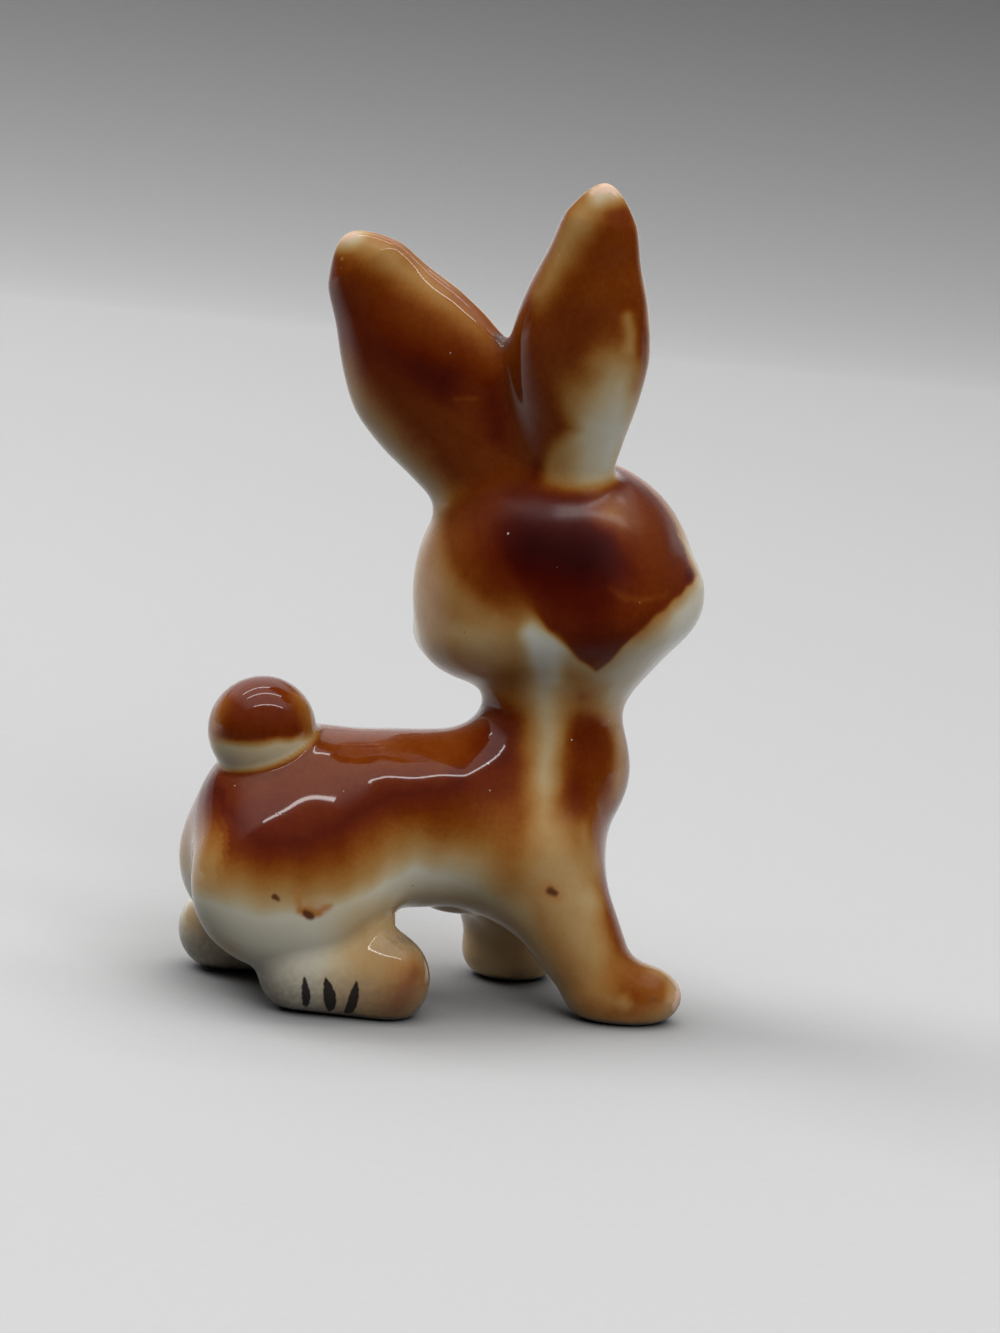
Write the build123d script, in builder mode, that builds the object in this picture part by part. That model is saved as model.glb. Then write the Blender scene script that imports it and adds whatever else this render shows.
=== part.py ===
import os

from build123d import *

# A small glazed rabbit of slip-cast clay. It stands on four feet, with its back legs
# together, its front legs stretched ahead and its head turned to its left.
# +X runs ahead along the body, +Y to its left and +Z up. The origin is on the ground
# under the middle of the whole figure. Lengths are in millimetres, angles in degrees.

# Place of the body over the origin
body_ahead = 1.9
body_left = 0.0

# Clay walls and holes
wall = 2.0
vent_radius = 1.1
vent_ahead = 1.0
bore_radius = 2.4

# Torso, a barrel that lies along the body
torso_length = 36.8
torso_width = 18.3
torso_tilt = 2.0
rump_back = 24.5
rump_height = 16.0

# Breast and neck, set back from the torso's front end
breast_radius = 8.1
breast_setback = 4.6
breast_height = 16.0
neck_radius = 5.2
neck_height = 20.0
neck_lean = 2.0

# Head, with the chin under its middle
head_width = 28.8
head_depth = 21.6
head_height = 24.2
head_lead = 1.7
head_left = 0.6
chin_depth = 9.3
chin_sink = 8.1
head_turn = 48.0
head_roll = -15.0

# Muzzle
muzzle_length = 10.4
muzzle_width = 10.4
muzzle_height = 8.8
muzzle_ahead = 8.2
muzzle_drop = 1.0

# Ears. The right one is the longer, the left one the wider.
ear_thickness = 8.4
ear_root = 6.0
ear_back = 4.0
ear_tilt = 8.2
ear_scoop = 1.3
scoop_width_share = 0.8
scoop_length_share = 0.8
ear_length = {"right": 29.2, "left": 27.6}
ear_width = {"right": 13.4, "left": 16.2}
ear_out = {"right": 3.6, "left": 2.8}
ear_rise = {"right": 12.0, "left": 12.4}
ear_angle = {"right": 22.0, "left": 20.4}

# Tail
tail_radius = 5.0
tail_back = 19.1
tail_height = 25.2
tail_right = 0.5

# Haunches
haunch_length = 19.2
haunch_width = 12.8
haunch_height = 18.6
haunch_overlap = 1.2
haunch_drop = 3.2
haunch_back = {"right": 16.2, "left": 14.8}

# Hind feet
heel_radius = 4.0
heel_height = 3.8
toe_radius = 4.3
toe_height = 3.4
foot_reach = 7.8
ankle_radius = 3.6
ankle_setback = 1.8
heel_back = {"right": 15.2, "left": 18.6}
heel_out = {"right": 6.5, "left": 8.6}
foot_angle = {"right": -12.0, "left": 1.5}

# Front legs and paws
shoulder_radius = 5.9
shoulder_setback = 0.7
shoulder_height = 15.0
wrist_radius = 3.6
wrist_height = 3.9
paw_height = 6.0
paw_sink = 0.7
shoulder_out = {"right": 5.4, "left": 4.7}
wrist_lead = {"right": 5.5, "left": 1.5}
wrist_out = {"right": 9.3, "left": 6.4}
paw_length = {"right": 10.6, "left": 9.2}
paw_width = {"right": 7.8, "left": 7.8}
paw_reach = {"right": 3.0, "left": 1.2}

# Places that follow from these sizes
breast_ahead = torso_length - rump_back - breast_setback
neck_top = breast_height + neck_height
haunch_out = haunch_width / 2 - haunch_overlap

# Outlines: each row gives a height and a half width, as shares of the form's size
torso_shares = [
    (0.0, 0.0), (0.036, 0.50), (0.09, 0.77), (0.16, 0.93), (0.26, 1.0), (0.42, 0.96),
    (0.62, 0.93), (0.80, 0.905), (0.90, 0.76), (0.965, 0.49), (1.0, 0.0),
]
head_shares = [
    (0.0, 0.0), (0.013, 0.17), (0.05, 0.33), (0.10, 0.49), (0.165, 0.67), (0.26, 0.89),
    (0.36, 0.985), (0.44, 1.0), (0.57, 0.945), (0.72, 0.85), (0.85, 0.70), (0.948, 0.486),
    (0.99, 0.24), (1.0, 0.0),
]
ear_shares = [
    (0.0, 0.0), (0.03, 0.34), (0.10, 0.59), (0.20, 0.70), (0.33, 0.83), (0.45, 0.96),
    (0.56, 1.0), (0.68, 0.885), (0.80, 0.68), (0.91, 0.445), (1.0, 0.0),
]
# Neck sections: height, lean ahead, then the thickening ahead and sideways over the neck
neck_shares = [
    (0.0, 0.0, 1.0, 1.0), (0.2, 0.58, 1.05, 0.73), (0.4, 0.98, 0.75, 0.60),
    (0.6, 1.0, 0.28, 0.27), (0.8, 1.0, 0.03, 0.03), (1.0, 1.0, 0.0, 0.0),
]

sides = {"right": -1, "left": 1}


def spot(ahead, left, up):
    """A point of the figure, measured from the body's place on the ground."""
    return Vector(body_ahead + ahead, body_left + left, up)


def turned(shares, width, height):
    """A smooth round form that stands on the origin."""
    with BuildPart() as form:
        with BuildSketch(Plane.XZ):
            with BuildLine():
                outline = Spline(
                    [(across * width / 2, up * height) for up, across in shares],
                    tangents=[(1, 0), (-1, 0)],
                    tangent_scalars=(1, 1),
                )
                Line(outline @ 1, outline @ 0)
            make_face()
        revolve(axis=Axis.Z)
    return form.part


def flattened(shares, width, height, depth):
    """A turned form pressed flatter along X."""
    return scale(turned(shares, width, height), by=(depth / width, 1, 1))


def lump(place, length, width, height):
    """An egg-shaped lump with its middle at a place."""
    return place * scale(Sphere(1), by=(length / 2, width / 2, height / 2))


def limb(start, end, start_radius, end_radius):
    """A tapered limb with round ends."""
    along = end - start
    with BuildPart() as form:
        with BuildSketch(Plane(start, z_dir=along)):
            Circle(start_radius)
        with BuildSketch(Plane(end, z_dir=along)):
            Circle(end_radius)
        loft()
        with Locations(start):
            Sphere(start_radius)
        with Locations(end):
            Sphere(end_radius)
    return form.part


# Solid forms before hollowing, which also cut their neighbours' seats
torso_place = Location(spot(-rump_back, 0, rump_height)) * Rotation(Y=90 - torso_tilt)
torso_form = torso_place * turned(torso_shares, torso_width, torso_length)
torso_cavity = torso_place * Location((0, 0, wall)) * turned(
    torso_shares,
    torso_width - 2 * wall,
    torso_length - 2 * wall,
)

head_centre = spot(breast_ahead + head_lead, head_left, neck_top - chin_sink + chin_depth)
head_place = Location(head_centre) * Rotation(Z=head_turn) * Rotation(X=head_roll)
head_foot = head_place * Location((0, 0, -chin_depth))
skull_form = head_foot * flattened(head_shares, head_width, head_height, head_depth)
head_cavity = head_foot * Location((0, 0, wall)) * flattened(
    head_shares,
    head_width - 2 * wall,
    head_height - 2 * wall,
    head_depth - 2 * wall,
)
muzzle_form = lump(
    head_place * Location((muzzle_ahead, 0, -muzzle_drop)),
    muzzle_length,
    muzzle_width,
    muzzle_height,
)

with BuildPart() as head_form:
    add(skull_form)
    add(muzzle_form)

with BuildPart() as breast_form:
    with Locations(spot(breast_ahead, 0, breast_height)):
        Sphere(breast_radius)
    for up, lean, thick, broad in neck_shares:
        with BuildSketch(Plane(spot(breast_ahead + lean * neck_lean, 0, breast_height + up * neck_height))):
            Ellipse(
                neck_radius + thick * (breast_radius - neck_radius),
                neck_radius + broad * (breast_radius - neck_radius),
            )
    loft()

# Bore that joins the hollows of the torso, the neck and the head
with BuildPart() as throat:
    with BuildSketch(Plane(spot(breast_ahead + neck_lean, 0, breast_height))):
        Circle(bore_radius)
    extrude(amount=neck_height)

haunch_form = {}
foot_form = {}
leg_form = {}
ear_form = {}
for side, sign in sides.items():
    haunch_middle = spot(-haunch_back[side], sign * haunch_out, rump_height - haunch_drop)
    haunch_form[side] = lump(Location(haunch_middle), haunch_length, haunch_width, haunch_height)

    heel = spot(-heel_back[side], sign * heel_out[side], heel_height)
    toe_place = Location(heel) * Rotation(Z=foot_angle[side]) * Location((foot_reach, 0, toe_height - heel_height))
    toe = toe_place.position
    ankle_place = toe_place * Location((-ankle_setback, 0, 0))
    with BuildPart() as foot:
        add(limb(heel, toe, heel_radius, toe_radius))
        add(limb(ankle_place.position, haunch_middle, ankle_radius, ankle_radius))
        split(bisect_by=Plane.XY, keep=Keep.TOP)
    foot_form[side] = foot.part

    shoulder = spot(breast_ahead - shoulder_setback, sign * shoulder_out[side], shoulder_height)
    wrist = spot(breast_ahead + wrist_lead[side], sign * wrist_out[side], wrist_height)
    paw_middle = wrist + Vector(paw_reach[side], 0, paw_height / 2 - paw_sink - wrist_height)
    paw = lump(Location(paw_middle), paw_length[side], paw_width[side], paw_height)
    with BuildPart() as leg:
        add(limb(shoulder, wrist, shoulder_radius, wrist_radius))
        add(paw)
        split(bisect_by=Plane.XY, keep=Keep.TOP)
    leg_form[side] = leg.part

    ear_place = (
        head_place
        * Location((-ear_back, sign * ear_out[side], ear_rise[side]))
        * Rotation(X=-sign * ear_angle[side])
        * Rotation(Y=-ear_tilt)
        * Location((0, 0, -ear_root))
    )
    ear_full = ear_length[side] + ear_root
    scoop_place = ear_place * Location((ear_thickness - ear_scoop, 0, ear_root + ear_length[side] / 2))
    blade = ear_place * flattened(ear_shares, ear_width[side], ear_full, ear_thickness)
    scoop = lump(
        scoop_place,
        ear_thickness,
        scoop_width_share * ear_width[side],
        scoop_length_share * ear_length[side],
    )
    with BuildPart() as ear:
        add(blade)
        add(scoop, mode=Mode.SUBTRACT)
    ear_form[side] = ear.part

with BuildPart() as tail_form:
    with Locations(spot(-tail_back, -tail_right, tail_height)):
        Sphere(tail_radius)

# Torso: a hollow shell, vented through the belly and open to the neck
with BuildPart() as torso:
    add(torso_form)
    add(torso_cavity, mode=Mode.SUBTRACT)
    with BuildSketch(Plane(spot(vent_ahead, 0, 0))):
        Circle(vent_radius)
    extrude(amount=rump_height, mode=Mode.SUBTRACT)
    add(throat.part, mode=Mode.SUBTRACT)

# Breast and neck: seated on the torso's front end, bored up to the head
with BuildPart() as breast_and_neck:
    add(breast_form.part)
    add(torso_form, mode=Mode.SUBTRACT)
    add(head_form.part, mode=Mode.SUBTRACT)
    add(throat.part, mode=Mode.SUBTRACT)

# Head: a hollow shell with its muzzle, open at the neck
with BuildPart() as head:
    add(head_form.part)
    add(head_cavity, mode=Mode.SUBTRACT)
    add(throat.part, mode=Mode.SUBTRACT)

with BuildPart() as tail:
    add(tail_form.part)
    add(torso_form, mode=Mode.SUBTRACT)
    for side in sides:
        add(haunch_form[side], mode=Mode.SUBTRACT)

pieces = {"torso": torso.part, "breast_and_neck": breast_and_neck.part, "head": head.part, "tail": tail.part}

for side in sides:
    with BuildPart() as haunch:
        add(haunch_form[side])
        add(torso_form, mode=Mode.SUBTRACT)
    pieces[f"{side}_haunch"] = haunch.part

    with BuildPart() as hind_foot:
        add(foot_form[side])
        add(haunch_form[side], mode=Mode.SUBTRACT)
        add(torso_form, mode=Mode.SUBTRACT)
    pieces[f"{side}_hind_foot"] = hind_foot.part

    with BuildPart() as front_leg:
        add(leg_form[side])
        add(breast_form.part, mode=Mode.SUBTRACT)
        add(torso_form, mode=Mode.SUBTRACT)
    pieces[f"{side}_front_leg"] = front_leg.part

# The ears are luted on last: the right one meets the head, the left one meets both
with BuildPart() as right_ear:
    add(ear_form["right"])
    add(head_form.part, mode=Mode.SUBTRACT)
pieces["right_ear"] = right_ear.part

with BuildPart() as left_ear:
    add(ear_form["left"])
    add(head_form.part, mode=Mode.SUBTRACT)
    add(ear_form["right"], mode=Mode.SUBTRACT)
pieces["left_ear"] = left_ear.part

os.makedirs("parts", exist_ok=True)
for name, piece in pieces.items():
    piece.label = name
    export_step(piece, f"parts/{name}.step")
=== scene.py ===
import math

import bpy
import numpy as np
from bpy.props import FloatProperty, FloatVectorProperty, PointerProperty
from mathutils import Matrix, Vector


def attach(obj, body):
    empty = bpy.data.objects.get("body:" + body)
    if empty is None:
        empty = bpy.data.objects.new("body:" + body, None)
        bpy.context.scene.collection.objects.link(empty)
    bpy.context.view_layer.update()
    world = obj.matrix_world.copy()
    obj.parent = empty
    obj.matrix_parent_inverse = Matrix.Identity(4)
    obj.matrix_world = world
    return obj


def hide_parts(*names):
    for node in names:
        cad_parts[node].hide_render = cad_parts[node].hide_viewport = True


bl_info = {
    "name": "Glazed Rabbit Figurine",
    "version": (1, 0, 0),
    "blender": (4, 5, 0),
    "location": "3D View > Sidebar > Rabbit",
    "description": "Skins, glaze and studio for a small slip-cast rabbit",
    "category": "Object",
}

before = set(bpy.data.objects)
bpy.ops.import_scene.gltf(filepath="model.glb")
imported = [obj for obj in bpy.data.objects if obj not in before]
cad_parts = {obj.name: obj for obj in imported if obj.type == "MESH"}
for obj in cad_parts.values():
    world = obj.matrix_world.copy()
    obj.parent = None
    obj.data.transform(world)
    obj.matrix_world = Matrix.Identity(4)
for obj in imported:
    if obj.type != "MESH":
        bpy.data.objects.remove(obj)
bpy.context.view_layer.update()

MM = 0.001
TAU = 2 * math.pi
FAR = 1e3
TINY = 1e-9


# Shapes. Points are rows of x, y, z in millimetres. A lump's value at a point is about
# its distance there: below nought inside the clay, above it outside.


def turn_z(degrees):
    """Axes turned to the left: the turn's cosine and sine in x and y."""
    c, s = math.cos(math.radians(degrees)), math.sin(math.radians(degrees))
    return np.array([[c, -s, 0], [s, c, 0], [0, 0, 1]])


def turn_x(degrees):
    """Axes rolled about x: the turn's cosine and sine in y and z."""
    c, s = math.cos(math.radians(degrees)), math.sin(math.radians(degrees))
    return np.array([[1, 0, 0], [0, c, -s], [0, s, c]])


def turn_y(degrees):
    """Axes tipped about y: the turn's cosine and sine in z and x."""
    c, s = math.cos(math.radians(degrees)), math.sin(math.radians(degrees))
    return np.array([[c, 0, s], [0, 1, 0], [-s, 0, c]])


def smooth(x):
    """Eased step from nought to one: x squared times three less two x."""
    x = np.clip(x, 0, 1)
    return x * x * (3 - 2 * x)


def ramp(x, start, end):
    """Eased step from nought at the start to one at the end, which may be the lower."""
    return smooth((x - start) / (end - start))


def laid(under, over, share):
    """One value laid over another: the share of the way from one to the other."""
    return under + (over - under) * share


HEAD_MIDDLE = np.array([11.3, 0.6, 37.2])
HEAD_TURN = 48
HEAD_ROLL = -15
HEAD_AXES = turn_z(HEAD_TURN) @ turn_x(HEAD_ROLL)


def on_head(ahead, left, up):
    """A point given by its distances ahead, left and up from the middle of the head."""
    return HEAD_MIDDLE + HEAD_AXES @ np.array([ahead, left, up])


def egg(p, middle, radii, axes=None):
    """An egg-shaped lump: k (k - 1) / g, where k is the length of the point over the
    radii and g the length of the point over the squared radii."""
    q = p - np.asarray(middle, float)
    if axes is not None:
        q = q @ axes
    r = np.asarray(radii, float)
    k = np.linalg.norm(q / r, axis=-1)
    g = np.linalg.norm(q / (r * r), axis=-1) + TINY
    return k * (k - 1) / g


def limb(p, start, end, start_radius, end_radius):
    """A tapered limb with round ends: the distance to the cone that touches both end
    balls, or to a ball where the point lies past the cone's edge."""
    start, end = np.asarray(start, float), np.asarray(end, float)
    along = end - start
    full = along @ along
    slope = start_radius - end_radius
    flank = full - slope * slope
    q = p - start
    y = q @ along
    z = y - full
    side = q * full - y[:, None] * along
    x2 = (side * side).sum(-1)
    y2 = y * y * full
    z2 = z * z * full
    k = np.sign(slope) * slope * slope * x2
    out = (np.sqrt(x2 * flank / full) + y * slope) / full - start_radius
    past_end = np.sign(z) * flank * z2 > k
    past_start = ~past_end & (np.sign(y) * flank * y2 < k)
    out = np.where(past_end, np.sqrt(x2 + z2) / full - end_radius, out)
    return np.where(past_start, np.sqrt(x2 + y2) / full - start_radius, out)


def join(a, b, soft):
    """Two lumps as one: the smaller value, rounded by a parabola where the two are
    nearer to each other than the softness."""
    h = np.clip(0.5 + 0.5 * (b - a) / soft, 0, 1)
    return b + (a - b) * h - soft * h * (1 - h)


def carve(a, b, soft):
    """Lump a with lump b taken out of it, with the edge rounded as in join."""
    return -join(-a, b, soft)


def skull(p, middle, radii, below, power):
    """A squared-off egg with a shallower lower half: (k - 1) / g, where k is the sum of
    the powers of the point over the radii, brought back by the root, and g its slope."""
    q = (p - middle) @ HEAD_AXES
    r = np.tile(np.asarray(radii, float), (len(q), 1))
    r[:, 2] = np.where(q[:, 2] > 0, radii[2], below)
    s = np.abs(q / r) + 1e-6
    k = (s ** power).sum(-1) ** (1 / power)
    g = (s / k[:, None]) ** (power - 1) / r
    return (k - 1) / np.linalg.norm(g, axis=-1)


def leaf_outline(shares, count=600):
    """Half width over height of a leaf, from a few rows of both: a cubic through the
    rows, each with the slope of its two neighbours, level across at both ends."""
    rows = np.asarray(shares, float)
    chord = np.linalg.norm(np.diff(rows, axis=0), axis=1)
    place = np.concatenate([[0], np.cumsum(chord)])
    slope = np.empty_like(rows)
    slope[1:-1] = (rows[2:] - rows[:-2]) / (place[2:] - place[:-2])[:, None]
    slope[0], slope[-1] = (0, 1), (0, -1)
    t = np.linspace(0, place[-1], count)
    i = np.clip(np.searchsorted(place, t, side="right") - 1, 0, len(chord) - 1)
    u = ((t - place[i]) / chord[i])[:, None]
    c = chord[i][:, None]
    curve = (
        (1 + 2 * u) * (1 - u) ** 2 * rows[i]
        + u * (1 - u) ** 2 * c * slope[i]
        + u * u * (3 - 2 * u) * rows[i + 1]
        - u * u * (1 - u) * c * slope[i + 1]
    )
    return np.maximum.accumulate(curve[:, 0]), np.maximum(curve[:, 1], 0)


EAR_ROWS = (
    (0, 0), (0.03, 0.34), (0.1, 0.59), (0.2, 0.7), (0.33, 0.83), (0.45, 0.96),
    (0.56, 1), (0.68, 0.885), (0.8, 0.68), (0.91, 0.5), (1, 0),
)
EAR_HEIGHTS, EAR_HALVES = leaf_outline(EAR_ROWS)
EAR_ROOT = 6.0
EAR_THICK = 8.4
EAR_BACK = 4.0
EAR_LEAN = 8.2
EAR_THINNEST = 0.05
SCOOP_DEPTH = 2.2
SCOOP_WIDTH_SHARE = 0.41
SCOOP_LENGTH_SHARE = 0.43
SCOOP_EDGE = 1.2


class Ear:
    """Place and size of one ear: its foot on the head, its lean and its blade."""

    def __init__(self, side, out, rise, spread, length, width):
        self.length = length + EAR_ROOT
        self.width = width
        self.blade = length
        self.axes = HEAD_AXES @ turn_x(-side * spread) @ turn_y(-EAR_LEAN)
        self.foot = on_head(-EAR_BACK, side * out, rise) - self.axes[:, 2] * EAR_ROOT

    def local(self, p):
        """The point as distances ahead, left and up the ear from its foot."""
        return (p - self.foot) @ self.axes

    def field(self, p):
        """A leaf of the ear outline with an oval section, hollowed on its front side
        by an egg that stands a little ahead of the blade."""
        q = self.local(p)
        up = q[:, 2] / self.length
        share = np.interp(np.clip(up, 0, 1), EAR_HEIGHTS, EAR_HALVES)
        wide = np.maximum(share * self.width / 2, EAR_THINNEST)
        deep = np.maximum(share * EAR_THICK / 2, EAR_THINNEST)
        k = np.hypot(q[:, 1] / wide, q[:, 0] / deep)
        g = np.hypot(q[:, 1] / wide ** 2, q[:, 0] / deep ** 2) + TINY
        d = k * (k - 1) / g
        over = np.maximum(np.maximum(up - 1, -up), 0) * self.length
        d = np.where(over > 0, np.hypot(np.maximum(d, 0), over), d)
        middle = (EAR_THICK - SCOOP_DEPTH, 0, EAR_ROOT + self.blade / 2)
        radii = (EAR_THICK / 2, self.width * SCOOP_WIDTH_SHARE, self.blade * SCOOP_LENGTH_SHARE)
        return carve(d, egg(q, middle, radii), SCOOP_EDGE)


EARS = {
    "right_ear": Ear(-1, 3.6, 12.0, 22.0, 29.2, 13.4),
    "left_ear": Ear(1, 2.8, 12.4, 20.4, 27.6, 16.2),
}


SOLE_EDGE = 0.8


def stands(d, p):
    """The lump cut off at the ground, with a small round edge under it."""
    return -join(-d, p[:, 2], SOLE_EDGE)


WAIST_SHARES = (0.05, 0.10)
VENT_AHEAD = 2.9


def torso(p):
    """A barrel from rump to breast, fuller at the rump, with a vent in its belly. It is
    made narrower by widening the points sideways, in two eased steps from the rump."""
    slim = p.copy()
    hips, waist = ramp(p[:, 0], -16, -10), ramp(p[:, 0], -6, 6)
    slim[:, 1] *= 1 + WAIST_SHARES[0] * hips + WAIST_SHARES[1] * waist
    d = limb(slim, (-11.1, 0, 16.7), (6.1, 0, 17.2), 8.6, 8.35)
    d = join(d, egg(p, (-14.0, 0, 15.8), (8.7, 8.2, 8.9)), 3)
    d = join(d, egg(p, (VENT_AHEAD, 0, 8.9), (2.0, 2.0, 0.9)), 0.8)
    return carve(d, egg(p, (VENT_AHEAD, 0, 7.4), (1.0, 1.0, 2.6)), 0.4)


def breast_and_neck(p):
    """A breast that narrows to the neck, fuller in front."""
    d = limb(p, (9.4, 0, 16), (11.2, 0, 26.5), 8.0, 6.2)
    d = join(d, limb(p, (11.6, 0, 27), (11.6, 0, 35), 5.5, 5.2), 2)
    return join(d, egg(p, (13.3, 0, 22.0), (6, 6.6, 5.8)), 3)


def head(p):
    """A skull with cheeks, a muzzle and a jaw that runs down into the neck."""
    d = skull(p, HEAD_MIDDLE, (10.8, 13.5, 14.4), 6.8, 2.4)
    for side, out, up in ((-1, 9.8, 0.6), (1, 10.9, -0.4)):
        d = join(d, egg(p, on_head(0.8, side * out, up), (4.2, 3.9, 2.8), HEAD_AXES), 2.5)
    d = join(d, egg(p, on_head(8.2, 0, -1.0), (5.2, 5.2, 4.4), HEAD_AXES), 3.5)
    return join(d, egg(p, on_head(0.5, -1.6, -4.2), (6.6, 6.0, 5.2), HEAD_AXES), 4)


def tail(p):
    """A ball."""
    return egg(p, (-17.2, -0.5, 25.2), (5.0, 5.0, 5.0))


def right_haunch(p):
    """An egg at the side of the rump."""
    return egg(p, (-14.3, -5.3, 11.3), (9.6, 6.3, 8.0))


def left_haunch(p):
    """An egg at the side of the rump."""
    return egg(p, (-12.9, 5.3, 11.3), (9.2, 6.1, 7.8))


def right_hind_foot(p):
    """A long foot with an ankle that rises into the haunch."""
    d = limb(p, (-13.3, -6.5, 3.8), (-5.7, -8.1, 3.4), 4.0, 4.4)
    return stands(join(d, limb(p, (-6.6, -7.8, 4), (-9.2, -5, 9.6), 3.7, 2.8), 1.5), p)


def left_hind_foot(p):
    """A long foot with an ankle that rises into the haunch."""
    d = limb(p, (-16.7, 8.6, 4.0), (-8.9, 8.8, 3.4), 4.1, 4.3)
    return stands(join(d, limb(p, (-8.9, 8.0, 4), (-11.1, 5, 10), 3.6, 3.6), 1.5), p)


def right_front_leg(p):
    """A stretched leg with a paw."""
    d = limb(p, (9.2, -5.4, 14.2), (15.1, -9.3, 4.1), 5.7, 3.6)
    return stands(join(d, egg(p, (18.1, -9.6, 2.4), (5.3, 3.9, 3.2)), 2), p)


def left_front_leg(p):
    """A straight leg with a paw."""
    d = limb(p, (8.9, 4.7, 15.0), (11.1, 6.4, 3.9), 5.6, 3.5)
    return stands(join(d, egg(p, (12.3, 6.6, 2.3), (4.6, 3.9, 3.0)), 2), p)


# The figure's lumps in the order in which they are luted on, each with the softness of
# its joint
FIGURE = (
    ("torso", torso, 1.0),
    ("breast_and_neck", breast_and_neck, 3.5),
    ("right_haunch", right_haunch, 4.0),
    ("left_haunch", left_haunch, 4.0),
    ("right_hind_foot", right_hind_foot, 1.2),
    ("left_hind_foot", left_hind_foot, 1.2),
    ("right_front_leg", right_front_leg, 4.0),
    ("left_front_leg", left_front_leg, 4.0),
    ("head", head, 3.0),
    ("right_ear", EARS["right_ear"].field, 2.0),
    ("left_ear", EARS["left_ear"].field, 2.5),
    ("tail", tail, 0.8),
)

# Each skin: the ends of its core line, its girth radius, the farthest that its clay
# reaches from the core, and the lumps that it joins
SKINS = {
    "torso": ((-11.1, 0, 16.7), (5.6, 0, 17.0), 9.0, 15, (
        "breast_and_neck", "right_haunch", "left_haunch", "right_hind_foot",
        "left_hind_foot", "right_front_leg", "left_front_leg", "tail")),
    "breast_and_neck": ((10.0, 0, 16.5), (11.6, 0, 29.5), 7.0, 12, (
        "torso", "right_front_leg", "left_front_leg", "head")),
    "head": ((11.4, 0.4, 36.2), (11.2, 0.6, 38.2), 12.5, 22, (
        "breast_and_neck", "right_ear", "left_ear")),
    "right_ear": (None, None, 6.0, 16, ("head", "left_ear")),
    "left_ear": (None, None, 7.0, 16, ("head", "right_ear")),
    "tail": ((-17.2, -0.5, 25.0), (-17.2, -0.5, 25.4), 5.0, 9, (
        "torso", "right_haunch", "left_haunch")),
    "right_haunch": ((-14.8, -5.4, 12.8), (-13.8, -5.4, 12.8), 8.5, 14, (
        "torso", "right_hind_foot", "left_haunch", "tail")),
    "left_haunch": ((-13.4, 5.4, 12.8), (-12.4, 5.4, 12.8), 8.5, 14, (
        "torso", "left_hind_foot", "right_haunch", "tail")),
    "right_hind_foot": ((-13.3, -6.6, 3.4), (-5.7, -8.1, 3.2), 4.3, 13, (
        "torso", "right_haunch", "left_haunch")),
    "left_hind_foot": ((-16.7, 8.6, 3.4), (-8.9, 8.8, 3.2), 4.3, 13, (
        "torso", "left_haunch", "right_haunch")),
    "right_front_leg": ((9.4, -5.9, 14.0), (15.0, -9.2, 3.0), 4.6, 12, (
        "torso", "breast_and_neck", "left_front_leg")),
    "left_front_leg": ((9.2, 5.2, 13.6), (11.1, 6.4, 2.8), 4.6, 12, (
        "torso", "breast_and_neck", "right_front_leg")),
}

# How fast a skin sinks past its joint, where the joint is tight, and elsewhere
DIPS = {
    "tail": 0.4, "right_hind_foot": 0.2, "left_hind_foot": 0.2, "right_ear": 0.15, "left_ear": 0.15,
}
PLAIN_DIP = 0.1

SWAY_SEED = 11
SWAY_LENGTHS = (13.0, 10.5, 9.0, 7.5, 6.5, 5.5, 4.6)
SWAY_HEIGHT = 0.028


def sway(p):
    """Unevenness of the cast: a sum of sine waves, each with its own direction, length
    and start, of a few hundredths of a millimetre. The shorter ones are the lower."""
    dice = np.random.default_rng(SWAY_SEED)
    out = np.zeros(len(p))
    for length in SWAY_LENGTHS:
        way = dice.normal(size=3)
        way *= TAU / length / np.linalg.norm(way)
        out += np.sin(p @ way + dice.uniform(0, TAU)) * (length / SWAY_LENGTHS[0]) ** 1.2
    return out * SWAY_HEIGHT


def skin_field(name, lap):
    """The value that is nought on one piece's skin: the whole figure's soft join where
    the piece is the nearest lump, a little lower past that line, and shut off inside
    its neighbour."""
    near = SKINS[name][4]
    dip = DIPS.get(name, PLAIN_DIP)
    lumps = [(n, f, s) for n, f, s in FIGURE if n == name or n in near]

    def field(p, uneven):
        whole = None
        own = None
        rest = np.full(len(p), FAR)
        for n, f, soft in lumps:
            d = f(p)
            whole = d if whole is None else join(whole, d, soft)
            if n == name:
                own = d
            else:
                rest = np.minimum(rest, d)
        past = own - rest
        if uneven:
            whole = whole - sway(p)
        return np.maximum(whole + dip * np.maximum(past, 0) ** 2, past - lap)

    return field


LONG_STEP = 1.1
STEP_SLACK = 0.2
HALVINGS = 6


def fire_rays(field, core, ways, reach):
    """How far each ray from the core goes before it leaves the clay: long steps over the
    even clay until the value turns positive, then halvings over the uneven clay, then a
    straight line between the ends."""
    low = np.zeros(len(core))
    high = np.full(len(core), float(reach))
    found = np.zeros(len(core), bool)
    steps = np.linspace(0, reach, int(reach / LONG_STEP) + 1)
    for a, b in zip(steps[:-1], steps[1:]):
        left = ~found
        out = field(core[left] + ways[left] * b, False) > 0
        here = np.flatnonzero(left)[out]
        low[here], high[here] = a - STEP_SLACK, b + STEP_SLACK
        found[here] = True
    if not found.all():
        raise RuntimeError("a ray found no way out of the clay")
    for _ in range(HALVINGS):
        mid = (low + high) / 2
        out = field(core + ways * mid[:, None], True) > 0
        high = np.where(out, mid, high)
        low = np.where(out, low, mid)
    a = field(core + ways * low[:, None], True)
    b = field(core + ways * high[:, None], True)
    share = np.clip(a / np.where(a == b, 1, a - b), 0, 1)
    return low + (high - low) * share


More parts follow.
